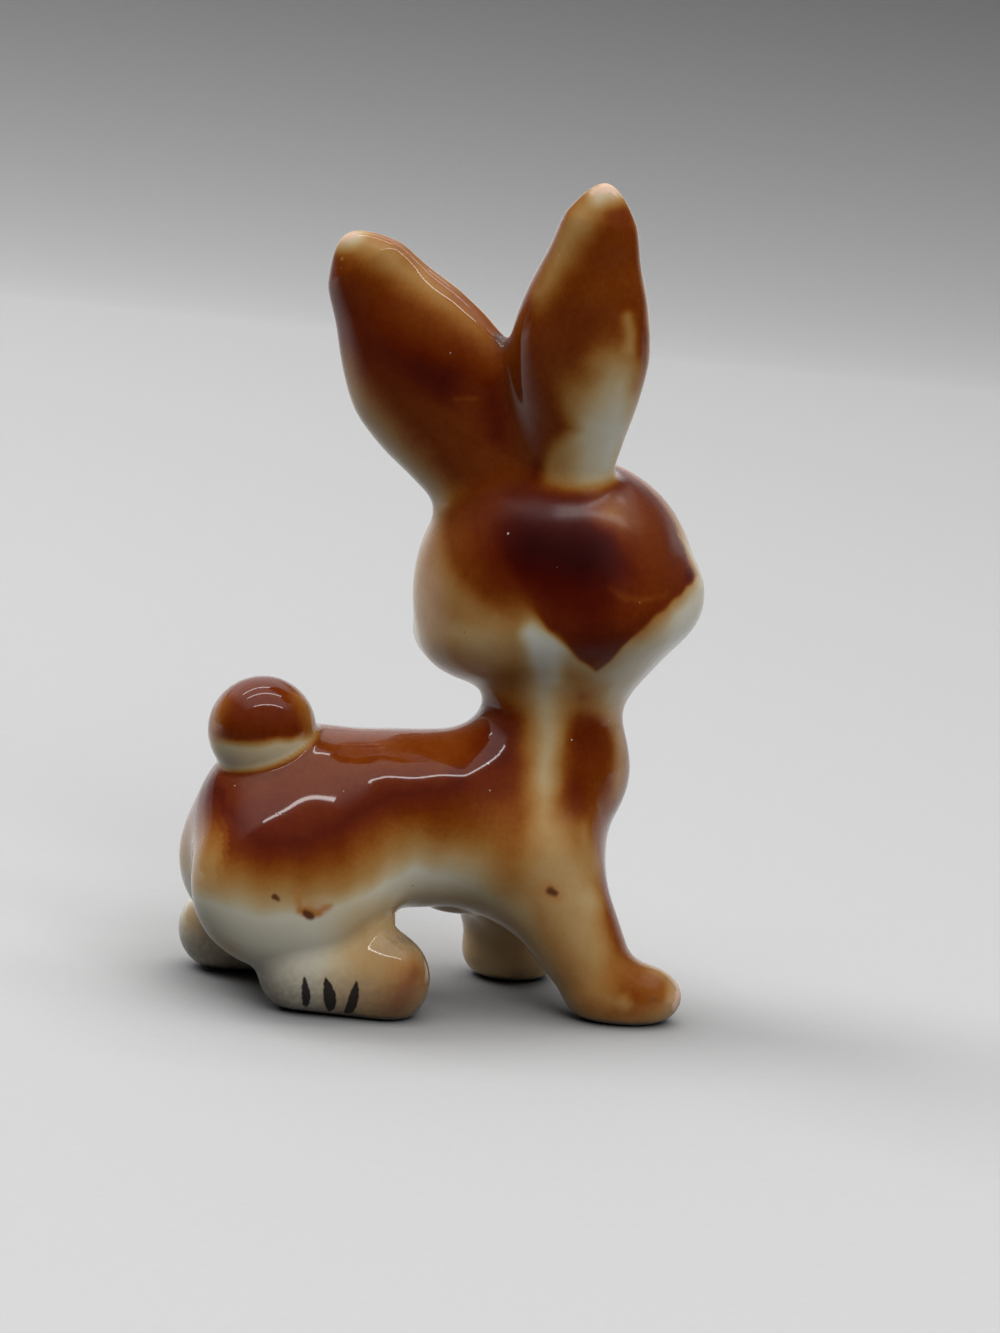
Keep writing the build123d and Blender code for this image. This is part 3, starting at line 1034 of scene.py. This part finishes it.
class RABBIT_PG_studio(bpy.types.PropertyGroup):
    """Floor, backdrop, lamps and camera"""

    floor: colour("Floor", "The sweep where the rabbit stands", (0.465, 0.465, 0.467))
    # The dark top that the camera sees is painted shade for the light falling off up the sweep
    backdrop: colour("Backdrop", "The sweep at its top", (0.14, 0.14, 0.142))
    bounce: colour("Backdrop in the glaze", "The sweep's top as the glaze mirrors it", (0.9, 0.9, 0.9))
    world: colour("World", "What shows past the sweep", (0.62, 0.62, 0.63))
    fade: length("Fade", "Height over which the sweep darkens", 90 * MM, 1 * MM)
    ceiling: strength("Ceiling", "Strength of the wide dim ceiling", 0.75)
    key_power: strength("Key lamp", "Power of the soft lamp above and behind", 5.6, "POWER")
    front_power: strength("Front lamp", "Power of the soft lamp above and in front", 6.0, "POWER")
    tube_power: strength("Tubes", "Power of each long thin lamp", 1.7, "POWER")
    air: strength("Room light", "Strength of the light from all round", 0.15)
    azimuth: angle("Camera azimuth", "Turn of the camera from the rabbit's right side", CAMERA_AZIMUTH)
    elevation: angle("Camera elevation", "How steeply the camera looks down", CAMERA_ELEVATION)
    roll: angle("Camera roll", "Tilt of the picture", CAMERA_ROLL)
    distance: length("Camera distance", "From the camera to the feet", CAMERA_DISTANCE * MM)


# Node groups


class Board:
    """Places nodes on one node tree and wires them."""

    def __init__(self, tree):
        self.tree = tree
        self.count = 0

    def place(self, kind, values=None, **settings):
        """A node with its settings, and values or wires for its inputs."""
        node = self.tree.nodes.new(kind)
        node.location = (190 * (self.count % 14), -230 * (self.count // 14))
        self.count += 1
        for name, value in settings.items():
            setattr(node, name, value)
        self.fill(node, values or {})
        return node

    def fill(self, node, values):
        """Values or wires for some of a node's inputs."""
        for key, value in values.items():
            self.feed(node.inputs[key], value)

    def feed(self, socket, value):
        """Wires a socket to an output, or sets its value."""
        if isinstance(value, bpy.types.NodeSocket):
            self.tree.links.new(value, socket)
        else:
            socket.default_value = value

    def sum(self, operation, *values, clamp=False):
        """One step of arithmetic."""
        choice = {"operation": operation, "use_clamp": clamp}
        return self.place("ShaderNodeMath", dict(enumerate(values)), **choice).outputs[0]

    def times(self, first, second):
        """The product of two values."""
        return self.sum("MULTIPLY", first, second)

    def less(self, first, second):
        """The first value less the second."""
        return self.sum("SUBTRACT", first, second)

    def times_plus(self, first, second, third, clamp=False):
        """The product of two values, plus a third."""
        return self.sum("MULTIPLY_ADD", first, second, third, clamp=clamp)

    def vector(self, operation, *values, scale=None, out="Vector"):
        """One step of arithmetic on vectors."""
        node = self.place("ShaderNodeVectorMath", dict(enumerate(values)), operation=operation)
        if scale is not None:
            self.feed(node.inputs["Scale"], scale)
        return node.outputs[out]

    def noise(self, vector, scale, detail=2.0, roughness=0.5):
        """Soft noise, from nought to one."""
        values = {"Vector": vector, "Scale": scale, "Detail": detail, "Roughness": roughness}
        return self.place("ShaderNodeTexNoise", values).outputs["Fac"]

    def eased(self, value, low, high, to_low=0.0, to_high=1.0):
        """The value taken from one range to another along an eased step."""
        ends = {"From Min": low, "From Max": high, "To Min": to_low, "To Max": to_high}
        values = {"Value": value, **ends}
        node = self.place("ShaderNodeMapRange", values, interpolation_type="SMOOTHSTEP")
        return node.outputs["Result"]

    def tint(self, share, under, over):
        """One colour laid over another."""
        node = self.place("ShaderNodeMix", {0: share, 6: under, 7: over}, data_type="RGBA")
        return node.outputs[2]

    def channels(self, tone):
        """A colour's red, green and blue."""
        return self.place("ShaderNodeSeparateColor", {0: tone}).outputs

    def parts(self, vector):
        """A vector's x, y and z."""
        return self.place("ShaderNodeSeparateXYZ", {0: vector}).outputs

    def cells(self, vector, scale):
        """Distance to the nearest of many scattered points, and that point's colour."""
        values = {"Vector": vector, "Scale": scale}
        return self.place("ShaderNodeTexVoronoi", values).outputs

    def group(self, label, **values):
        """Outputs of a shared group. A value is given by its socket's name, with small
        letters and underscores."""
        named = {key.replace("_", " ").title(): value for key, value in values.items()}
        return self.place("ShaderNodeGroup", named, node_tree=GROUPS[label]).outputs


def new_material(name):
    """A material, and its board and shader."""
    material = bpy.data.materials.new(name)
    material.use_nodes = True
    shader = material.node_tree.nodes["Principled BSDF"]
    shader.location = (2900, 0)
    return material, Board(material.node_tree), shader


def new_group(name, inputs, outputs):
    """An empty node group with named sockets, and its board, inputs and outputs."""
    tree = bpy.data.node_groups.new(name, "ShaderNodeTree")
    kinds = {"v": "NodeSocketVector", "f": "NodeSocketFloat", "c": "NodeSocketColor"}
    for label, kind in inputs:
        tree.interface.new_socket(name=label, in_out="INPUT", socket_type=kinds[kind])
    for label, kind in outputs:
        tree.interface.new_socket(name=label, in_out="OUTPUT", socket_type=kinds[kind])
    board = Board(tree)
    return tree, board, board.place("NodeGroupInput").outputs, board.place("NodeGroupOutput").inputs


def spray_coat():
    """Colour of bare glaze under the spray. Soft mottles and fine grain shift the
    spray's thickness where it is neither bare nor full; past a half it piles up. Each
    channel is the bare glaze times what one coat lets through, to the power of the
    thickness."""
    tree, b, given, gives = new_group(
        "Spray Coat",
        (("Vector", "v"), ("Thickness", "f"), ("Mottle", "f"), ("Grain", "f"),
         ("Bare", "c"), ("Spray", "c")),
        (("Color", "c"), ("Thickness", "f")),
    )
    t = given["Thickness"]
    middle = b.times_plus(b.times(t, b.less(THICKEST, t)), 2.4, 0.10)
    wide = b.less(b.noise(given["Vector"], 0.45, 4, 0.6), 0.5)
    small = b.less(b.noise(given["Vector"], 1.7, 4, 0.65), 0.5)
    fine = b.less(b.noise(given["Vector"], 7.0, 2, 0.6), 0.5)
    shift = b.times(b.sum("ADD", wide, small), given["Mottle"])
    shift = b.times_plus(fine, given["Grain"], shift)
    t = b.sum("MAXIMUM", b.times_plus(shift, middle, t), 0.0)
    piled = b.sum("POWER", b.sum("MAXIMUM", b.less(t, 0.5), 0.0), 2.0)
    coats = b.times_plus(piled, 4.4, t)
    bare, through = b.channels(given["Bare"]), b.channels(given["Spray"])
    seen = [b.times(bare[k], b.sum("POWER", through[k], coats)) for k in range(3)]
    b.feed(gives["Color"], b.place("ShaderNodeCombineColor", dict(enumerate(seen))).outputs[0])
    b.feed(gives["Thickness"], t)
    return tree


def glaze_skin():
    """Height of the glaze's skin, which is uneven like orange peel, with small pits,
    and how much rougher it is in places."""
    tree, b, given, gives = new_group(
        "Glaze Skin",
        (("Vector", "v"), ("Peel", "f"), ("Pits", "f")),
        (("Height", "f"), ("Roughness", "f"), ("Pit", "f")),
    )
    v = given["Vector"]
    peel = b.times_plus(b.noise(v, 2.4, 2), 0.35, b.noise(v, 0.7, 2))
    cells = b.cells(v, 0.42)
    size = b.times(b.sum("POWER", b.noise(v, 0.9, 1), 3.0), 0.55)
    dot = b.eased(cells["Distance"], size, b.times(size, 0.4))
    chosen = b.sum("LESS_THAN", b.channels(cells["Color"])[0], given["Pits"])
    pit = b.times(dot, chosen)
    height = b.less(b.times(peel, given["Peel"]), b.times(pit, 0.8))
    b.feed(gives["Height"], height)
    b.feed(gives["Roughness"], b.eased(b.noise(v, 0.5, 4, 0.6), 0.35, 0.75, -0.06, 0.10))
    b.feed(gives["Pit"], pit)
    return tree


def brush_stroke():
    """Mask of one stroke: one inside its width round a straight line, which swells by
    its belly in the middle; nought outside."""
    tree, b, given, gives = new_group(
        "Brush Stroke",
        (("Vector", "v"), ("Start", "v"), ("End", "v"), ("Start Width", "f"), ("End Width", "f"),
         ("Belly", "f"), ("Softness", "f")),
        (("Mask", "f"),),
    )
    wobble = b.place("ShaderNodeTexNoise", {"Vector": given["Vector"], "Scale": 2.2, "Detail": 2.0})
    shift = b.vector("SUBTRACT", wobble.outputs["Color"], (0.5, 0.5, 0.5))
    shift = b.vector("SCALE", shift, scale=0.22)
    q = b.vector("SUBTRACT", b.vector("ADD", given["Vector"], shift), given["Start"])
    along = b.vector("SUBTRACT", given["End"], given["Start"])
    share = b.sum(
        "DIVIDE",
        b.vector("DOT_PRODUCT", q, along, out="Value"),
        b.vector("DOT_PRODUCT", along, along, out="Value"),
        clamp=True,
    )
    nearest = b.vector("SCALE", along, scale=share)
    off = b.vector("LENGTH", b.vector("SUBTRACT", q, nearest), out="Value")
    ends = b.less(given["End Width"], given["Start Width"])
    width = b.times_plus(ends, share, given["Start Width"])
    swell = b.times(b.times(share, b.less(1.0, share)), 4.0)
    width = b.times_plus(swell, given["Belly"], width)
    inner = b.less(width, given["Softness"])
    outer = b.sum("ADD", width, given["Softness"])
    b.feed(gives["Mask"], b.eased(off, outer, inner))
    return tree


def kiln_specks():
    """Masks of fine dark and pale specks, each a dot in some of the cells of a grid of
    scattered points."""
    tree, b, given, gives = new_group(
        "Kiln Specks", (("Vector", "v"), ("Share", "f")), (("Dark", "f"), ("Pale", "f"))
    )
    for label, scale, size in (("Dark", 0.55, 0.075), ("Pale", 0.75, 0.085)):
        cells = b.cells(given["Vector"], scale)
        _, green, blue = b.channels(cells["Color"])
        pick = b.sum("LESS_THAN", green, given["Share"])
        reach = b.times(b.sum("ADD", blue, 0.35), size)
        dot = b.eased(cells["Distance"], reach, b.times(reach, 0.45))
        b.feed(gives[label], b.times(dot, pick))
    return tree


GROUPS = {}


def mix_groups():
    """Makes the shared node groups."""
    GROUPS["coat"] = spray_coat()
    GROUPS["skin"] = glaze_skin()
    GROUPS["stroke"] = brush_stroke()
    GROUPS["specks"] = kiln_specks()


GLAZE_IOR = 1.47
BODY_SHINE = 0.03
PEEL_HEIGHT = 0.03
SPECK_SHARE = 0.16


def fire_glaze(name, strokes=(), pits=0.10, peel=1.0, shaded_sole=False, satin=0.0, squash=1.0):
    """The glaze of one kind of piece: spray by the skin's coats, then blush, painted shade, worn places
    that on the ear tips are also a painted highlight, specks and brush strokes, under a clear coat.
    With a shaded sole, the lowest part of the foot is darkened as a painted contact shadow. A stroke is
    its start and end in millimetres, its width at both, how much it swells between them, its softness,
    its colour and how much it covers. The strokes are measured with the figure squashed sideways by a
    share, so that they run over curved places."""
    glaze = bpy.context.scene.rabbit_glaze
    material, b, shader = new_material(name)

    def coat(label):
        return b.place("ShaderNodeAttribute", attribute_name=label).outputs["Fac"]

    def shade(label):
        return (*getattr(glaze, label), 1)

    place = b.place("ShaderNodeTexCoord").outputs["Object"]
    mm = b.vector("SCALE", place, scale=1 / MM)
    tone, thickness = b.group(
        "coat", vector=mm, thickness=coat("spray"), mottle=0.10, grain=0.07,
        bare=shade("white"), spray=shade("spray"),
    )
    skin = b.group("skin", vector=mm, peel=peel, pits=pits)
    broken = b.noise(mm, 1.6, 4, 0.65)
    blush = b.times(coat("peach"), b.eased(broken, 0.2, 0.6, 0.55, 1.0))
    tone = b.tint(blush, tone, shade("peach"))
    # Painted shade from the skin's coat, in the shade tone
    smudge = b.times(coat("smudge"), b.eased(broken, 0.25, 0.65, 0.55, 1.0))
    tone = b.tint(smudge, tone, shade("shade_and_smudge_tone"))
    # Worn places, also a painted highlight on the ear tips, which make the glaze rougher and thin its
    # clear coat
    worn = b.eased(b.sum("ADD", coat("worn"), b.times(broken, 0.9)), 0.85, 1.25)
    tone = b.tint(b.times(worn, 0.8), tone, shade("worn"))
    specks = b.group("specks", vector=mm, share=SPECK_SHARE)
    dark = b.times(specks["Dark"], b.eased(thickness, 0.45, 0.25, 0.0, 0.75))
    tone = b.tint(dark, tone, shade("umber"))
    pale = b.times(specks["Pale"], b.eased(thickness, 0.4, 0.65, 0.0, 0.7))
    tone = b.tint(pale, tone, shade("white"))
    squashed = b.vector("MULTIPLY", mm, (1, squash, 1))
    for start, end, first, last, belly, soft, label, cover in strokes:
        mask = b.group(
            "stroke", vector=squashed, start=(start[0], start[1] * squash, start[2]),
            end=(end[0], end[1] * squash, end[2]), start_width=first, end_width=last,
            belly=belly, softness=soft,
        )["Mask"]
        tone = b.tint(b.times(mask, cover), tone, shade(label))
    # Painted contact shadow: the shade tone laid along the bottom of the foot
    if shaded_sole:
        height = b.parts(mm)["Z"]
        edge = b.times_plus(b.noise(mm, 0.8, 3), 0.5, -0.1)
        low = b.eased(b.less(height, edge), SOLE_EDGE, 0.0, 0.0, 0.92)
        tone = b.tint(low, tone, shade("shade_and_smudge_tone"))
    rough = b.sum("ADD", b.times_plus(worn, 0.25, glaze.gloss), skin["Roughness"])
    relief = {"Height": skin["Height"], "Strength": 0.5, "Distance": PEEL_HEIGHT * MM}
    b.fill(shader, {
        "Base Color": tone,
        "Roughness": b.times_plus(skin["Pit"], 0.2, rough, clamp=True),
        "Coat Weight": b.times_plus(worn, -0.6, 0.95, clamp=True),
        "Coat Roughness": glaze.coat_roughness + satin,
        "Coat IOR": GLAZE_IOR,
        "Specular IOR Level": BODY_SHINE,
        "Normal": b.place("ShaderNodeBump", relief).outputs["Normal"],
    })
    return material


# Pieces


def make_skins(names, material):
    """Makes the named skins at the clay's step and lap."""
    clay = bpy.context.scene.rabbit_clay
    step = clay.step
    for name in names:
        add_skin(name, material, step / MM, clay.lap / MM)
    return {"FINISHED"}


class RABBIT_OT_torso(bpy.types.Operator):
    """The torso, brown along the back and white under the belly"""

    bl_idname = "rabbit.torso"
    bl_label = "Torso"

    def execute(self, context):
        strokes = (
            ((0.6, -8.2, 19.7), (2.4, -8.4, 19.3), 0.08, 0.05, 0.12, 0.12, "orange", 0.35),
            ((-6.0, -7.6, 20.6), (-5.2, -7.8, 20.3), 0.05, 0.05, 0.05, 0.08, "white", 0.4),
        )
        return make_skins(("torso",), fire_glaze("torso glaze", strokes, pits=0.22))


class RABBIT_OT_breast(bpy.types.Operator):
    """Breast and neck, with a cream stripe down each side"""

    bl_idname = "rabbit.breast"
    bl_label = "Breast and neck"

    def execute(self, context):
        return make_skins(("breast_and_neck",), fire_glaze("breast glaze"))


# Strokes on the face, with the ends' distances ahead, left and up from the middle of the
# head: the eye, its glint, the brow, half the mouth's curve and two whisker dots on the
# left, and the nose and the line under it in the middle
FACE_SIDE = (
    ((9.6, 6.6, 4.5), (9.6, 6.6, 1.9), 0.95, 0.95, 0.25, 0.06, "ink", 1.0),
    ((9.9, 6.9, 4.6), (9.9, 6.9, 4.3), 0.3, 0.25, 0.0, 0.05, "white", 1.0),
    ((9.0, 8.6, 5.4), (10.2, 5.4, 6.4), 0.08, 0.16, 0.1, 0.06, "umber", 0.9),
    ((13.2, 0, -2.0), (12.2, 2.6, -3.0), 0.14, 0.06, 0.05, 0.05, "umber", 0.9),
    ((11.6, 3.4, -0.6), (11.5, 3.5, -0.6), 0.12, 0.12, 0.0, 0.05, "umber", 0.9),
    ((11.2, 3.9, -1.7), (11.1, 4.0, -1.7), 0.12, 0.12, 0.0, 0.05, "umber", 0.9),
)
FACE_MIDDLE = (
    ((13.3, -0.9, 1.5), (13.3, 0.9, 1.5), 0.55, 0.55, 0.35, 0.08, "umber", 0.9),
    ((13.6, 0, 0.9), (13.3, 0, -2.0), 0.12, 0.12, 0.0, 0.05, "umber", 0.9),
)


def face_strokes():
    """The side's strokes on the right and the left of the face, and then the middle's."""
    rows = []
    for side, marks in ((-1, FACE_SIDE), (1, FACE_SIDE), (1, FACE_MIDDLE)):
        for start, end, *brush in marks:
            ends = [tuple(on_head(ahead, side * left, up)) for ahead, left, up in (start, end)]
            rows.append((*ends, *brush))
    return rows


class RABBIT_OT_head(bpy.types.Operator):
    """The head, with a brown cap and a painted face"""

    bl_idname = "rabbit.head"
    bl_label = "Head"

    def execute(self, context):
        material = fire_glaze("head glaze", face_strokes(), satin=0.16)
        return make_skins(("head",), material)


class RABBIT_OT_ears(bpy.types.Operator):
    """Two tall ears, brown behind and pale inside"""

    bl_idname = "rabbit.ears"
    bl_label = "Ears"

    def execute(self, context):
        return make_skins(tuple(EARS), fire_glaze("ear glaze", peel=1.2))


class RABBIT_OT_tail(bpy.types.Operator):
    """The round tail, chestnut over a cream band"""

    bl_idname = "rabbit.tail"
    bl_label = "Tail"

    def execute(self, context):
        return make_skins(("tail",), fire_glaze("tail glaze", pits=0.2))


class RABBIT_OT_haunches(bpy.types.Operator):
    """Both haunches, with a dried drop on the right one"""

    bl_idname = "rabbit.haunches"
    bl_label = "Haunches"

    def execute(self, context):
        strokes = (
            ((-15.8, -11.5, 12.4), (-15.6, -11.6, 10.9), 0.14, 0.24, 0.12, 0.40, "orange", 0.75),
            ((-15.3, -11.5, 11.0), (-12.8, -11.5, 10.9), 0.25, 0.35, 0.45, 0.55, "orange", 0.45),
            ((-15.4, -11.5, 10.6), (-13.6, -11.5, 10.3), 0.34, 0.26, 0.22, 0.32, "orange", 1.0),
            ((-13.7, -11.5, 10.5), (-12.6, -11.5, 11.1), 0.30, 0.18, 0.08, 0.32, "orange", 0.85),
            ((-15.0, -11.5, 10.5), (-14.3, -11.5, 10.0), 0.24, 0.30, 0.10, 0.22, "umber", 0.95),
            ((-17.9, -11.1, 11.8), (-17.6, -11.1, 11.6), 0.26, 0.20, 0.0, 0.18, "umber", 0.95),
            ((-16.0, -10.9, 18.9), (-15.2, -10.9, 19.3), 0.03, 0.03, 0.07, 0.06, "orange", 0.5),
        )
        material = fire_glaze("haunch glaze", strokes, pits=0.22, squash=0.2)
        return make_skins(("right_haunch", "left_haunch"), material)


# Each claw: how far ahead of the first it starts, how far it leans ahead, its width at
# the ground and its belly
CLAWS = ((0.0, 0.75, 0.26, 0.22), (1.95, 1.0, 0.32, 0.36), (4.75, -0.2, 0.42, 0.20))


def claw_strokes():
    """Three black strokes across the outer side of each hind foot."""
    rows = []
    for side, start in ((-11.0, -14.2), (12.6, -16.9)):
        for along, lean, last, belly in CLAWS:
            top = (start + along, side, 4.2)
            rows.append((top, (top[0] + lean, side, 1.0), 0.05, last, belly, 0.08, "ink", 0.97))
    return rows


class RABBIT_OT_hind_feet(bpy.types.Operator):
    """Both hind feet, with brushed claws and a peach blush at the toes"""

    bl_idname = "rabbit.hind_feet"
    bl_label = "Hind feet"

    def execute(self, context):
        material = fire_glaze("hind foot glaze", claw_strokes(), shaded_sole=True, squash=0.15)
        return make_skins(("right_hind_foot", "left_hind_foot"), material)


class RABBIT_OT_front_legs(bpy.types.Operator):
    """Both front legs, with a brown line in front and orange paws"""

    bl_idname = "rabbit.front_legs"
    bl_label = "Front legs"

    def execute(self, context):
        strokes = (
            ((8.6, -11.3, 12.9), (9.4, -11.3, 12.4), 0.8, 0.7, 0.0, 0.6, "orange", 0.6),
            ((8.8, -11.3, 12.8), (9.2, -11.3, 12.6), 0.38, 0.34, 0.0, 0.24, "umber", 0.95),
        )
        material = fire_glaze("front leg glaze", strokes, shaded_sole=True, squash=0.2)
        return make_skins(("right_front_leg", "left_front_leg"), material)


# Stage


def set_camera(studio):
    """A level lens with no shift, placed so that the ground under the body comes to its
    pixel in the picture at the picture's scale."""
    right, up, back = camera_axes(studio.azimuth, studio.elevation, studio.roll)
    place = camera_place(right, up, back, studio.distance / MM) * MM
    lens = bpy.data.cameras.new("camera")
    lens.sensor_width = 36
    lens.lens = PIXELS_PER_MM * studio.distance / MM / PICTURE[1] * lens.sensor_width
    lens.clip_start, lens.clip_end = 0.01, 30
    camera = show("camera", lens)
    axes = np.column_stack([right, up, back, place])
    camera.matrix_world = Matrix(np.vstack([axes, [0, 0, 0, 1]]).tolist())
    bpy.context.scene.camera = camera


# The sweep's profile in metres: where it starts, where it bends up, the bend's radius
# and the height of its top
SWEEP_ROWS = (-4.0, 0.58, 0.15, 0.35)
SWEEP_HALF_WIDTH = 4.0


def sweep_sheet(away, rows, width):
    """The backdrop: a profile that runs level, turns up through a quarter circle and
    goes on upright, carried sideways along a straight line."""
    start, bend, radius, top = rows
    turn = np.linspace(0, math.pi / 2, 33)[1:-1]
    run = np.concatenate([[start, -1.0, 0.0, bend], bend + radius * np.sin(turn), [bend + radius] * 2])
    rise = np.concatenate([[0, 0, 0, 0], radius * (1 - np.cos(turn)), [radius, top]])
    side = np.array([-away[1], away[0], 0.0])
    across = np.linspace(-width, width, 9)
    grid = (
        run[:, None, None] * away + rise[:, None, None] * np.array([0, 0, 1.0])
        + across[None, :, None] * side
    )
    n = len(across)
    i = np.arange(len(run) - 1)[:, None] * n
    j = np.arange(n - 1)[None]
    quads = np.stack([i + j, i + j + n, i + j + n + 1, i + j + 1], -1).reshape(-1, 4)
    return grid.reshape(-1, 3), quads


def paper(studio, away):
    """Matt pale paper. As the camera sees it, its colour darkens up the backdrop, painted shade for the
    light that falls off up the sweep, and darkens where the rabbit is near, painted contact shadow.
    Light that bounces off it before the rabbit finds it dim, as in a dark room, well ahead of the
    rabbit's right side."""
    material, b, shader = new_material("sweep paper")
    place = b.place("ShaderNodeTexCoord").outputs["Object"]
    height = b.parts(place)["Z"]
    # Painted shade: the colour that the camera sees goes from the floor's to the darker backdrop's up
    # the sweep
    rise = b.sum("POWER", b.sum("DIVIDE", b.sum("MAXIMUM", height, 0.0), studio.fade, clamp=True), 0.5)
    fibre = b.eased(b.noise(place, 900, 3), 0.3, 0.7, 0.985, 1.0)
    tone = b.vector("SCALE", b.tint(rise, (*studio.floor, 1), (*studio.backdrop, 1)), scale=fibre)
    behind = b.eased(b.vector("DOT_PRODUCT", place, tuple(away), out="Value"), -0.05, 0.06, 0.06, 1.0)
    # Painted shade: the colour darker where the rabbit is near, by ambient occlusion
    near = b.place("ShaderNodeAmbientOcclusion", {"Distance": 22 * MM}, samples=8).outputs["AO"]
    tone = b.vector("SCALE", tone, scale=b.sum("POWER", near, 0.6))
    bounce = b.vector("SCALE", b.tint(rise, (*studio.floor, 1), (*studio.bounce, 1)), scale=behind)
    seen = b.place("ShaderNodeLightPath").outputs["Is Camera Ray"]
    tone = b.tint(seen, bounce, tone)
    b.fill(shader, {"Base Color": tone, "Roughness": 0.9, "Specular IOR Level": 0.1})
    return material


def hang_lamp(name, place, size, power):
    """A flat lamp that hangs at a place and shines down."""
    lamp = bpy.data.lights.new(name, "AREA")
    lamp.shape = "RECTANGLE"
    lamp.size, lamp.size_y = size
    lamp.energy = power
    holder = show(name, lamp)
    holder.location = place
    return holder


# Soft lamps that don't show in the glaze, and long thin ones that do, from the rabbit's
# right to its left, each with its share of the tubes' power
LAMPS = (
    ("key lamp", (-0.50, 0.45, 0.75), "key_power"),
    ("front lamp", (0.05, -0.85, 0.60), "front_power"),
)
LAMP_SIZE = (0.55, 0.55)
TUBES = (("near tube", -0.52, 1.25), ("middle tube", 0.08, 1.0), ("far tube", 0.47, 1.0))
TUBE_SIZE = (1.4, 0.044)
TUBE_HEIGHT = 1.10
CEILING_SLANT = 0.12
CEILING_START = (-0.60, -0.40)
CEILING_ENDS = (1.3, 0.6)


def light_room(studio):
    """Light from all round, stronger from above, a wide dim ceiling with soft edges
    that starts a little ahead of the rabbit's right side, and a pale colour behind."""
    world = bpy.data.worlds.new("room")
    world.use_nodes = True
    bpy.context.scene.world = world
    b = Board(world.node_tree)
    sky = world.node_tree.nodes["Background"]
    way = b.place("ShaderNodeTexCoord").outputs["Generated"]
    x, y, height = b.parts(way)
    air = b.times(b.eased(height, 0.0, 0.9, 0.12, 1.0), studio.air)
    flat = b.sum("MAXIMUM", height, 0.05)
    edge = b.times_plus(x, CEILING_SLANT, y)
    ceiling = b.eased(b.sum("DIVIDE", edge, flat), *CEILING_START, 0.0, studio.ceiling)
    side = b.sum("ABSOLUTE", b.sum("DIVIDE", x, flat))
    ceiling = b.times(ceiling, b.eased(side, *CEILING_ENDS))
    ceiling = b.times(ceiling, b.eased(height, 0.25, 0.5))
    light = b.vector("SCALE", (1.0, 1.0, 1.0), scale=b.sum("ADD", air, ceiling))
    seen = b.place("ShaderNodeLightPath").outputs["Is Camera Ray"]
    b.feed(sky.inputs["Color"], b.tint(seen, light, (*studio.world, 1)))


class RABBIT_OT_stage(bpy.types.Operator):
    """The sweep, the lamps, the room and the camera"""

    bl_idname = "rabbit.stage"
    bl_label = "Stage"

    def execute(self, context):
        studio = context.scene.rabbit_studio
        context.scene.view_settings.view_transform = "Standard"
        set_camera(studio)
        back = camera_axes(studio.azimuth, studio.elevation, studio.roll)[2]
        away = -np.array([back[0], back[1], 0.0])
        away /= np.linalg.norm(away)
        points, quads = sweep_sheet(away, SWEEP_ROWS, SWEEP_HALF_WIDTH)
        mesh = smooth_mesh("sweep", points, quads.tolist())
        mesh.materials.append(paper(studio, away))
        sweep = show("sweep", mesh)
        for name, place, power in LAMPS:
            lamp = hang_lamp(name, place, LAMP_SIZE, getattr(studio, power))
            lamp.rotation_euler = Vector(place).to_track_quat("Z", "Y").to_euler()
            lamp.visible_glossy = False
        for name, y, share in TUBES:
            tube = hang_lamp(name, (0, y, TUBE_HEIGHT), TUBE_SIZE, studio.tube_power * share)
            tube.rotation_euler = (0, 0, -math.atan(CEILING_SLANT))
        light_room(studio)
        return {"FINISHED"}


class RABBIT_PT_bench(bpy.types.Panel):
    """Makes the rabbit piece by piece"""

    bl_label = "Rabbit"
    bl_idname = "RABBIT_PT_bench"
    bl_space_type = "VIEW_3D"
    bl_region_type = "UI"
    bl_category = "Rabbit"

    def draw(self, context):
        for label, kind in SETTINGS.items():
            box = self.layout.box()
            for name in kind.__annotations__:
                box.prop(getattr(context.scene, label), name)
        for step in STEPS:
            self.layout.operator("rabbit." + step)


SETTINGS = {
    "rabbit_clay": RABBIT_PG_clay, "rabbit_glaze": RABBIT_PG_glaze, "rabbit_studio": RABBIT_PG_studio,
}
STEPS = ("torso", "breast", "head", "ears", "tail", "haunches", "hind_feet", "front_legs", "stage")
CLASSES = (
    *SETTINGS.values(), RABBIT_OT_torso, RABBIT_OT_breast, RABBIT_OT_head, RABBIT_OT_ears,
    RABBIT_OT_tail, RABBIT_OT_haunches, RABBIT_OT_hind_feet, RABBIT_OT_front_legs,
    RABBIT_OT_stage, RABBIT_PT_bench,
)


def register():
    """Registers the classes and hangs their settings on the scene."""
    for kind in CLASSES:
        bpy.utils.register_class(kind)
    for label, kind in SETTINGS.items():
        setattr(bpy.types.Scene, label, PointerProperty(type=kind))


def unregister():
    """Takes the settings and the classes away again."""
    for label in SETTINGS:
        delattr(bpy.types.Scene, label)
    for kind in reversed(CLASSES):
        bpy.utils.unregister_class(kind)


def main():
    """Makes every piece and the stage."""
    register()
    mix_groups()
    for step in STEPS:
        getattr(bpy.ops.rabbit, step)()


if __name__ == "__main__":
    main()
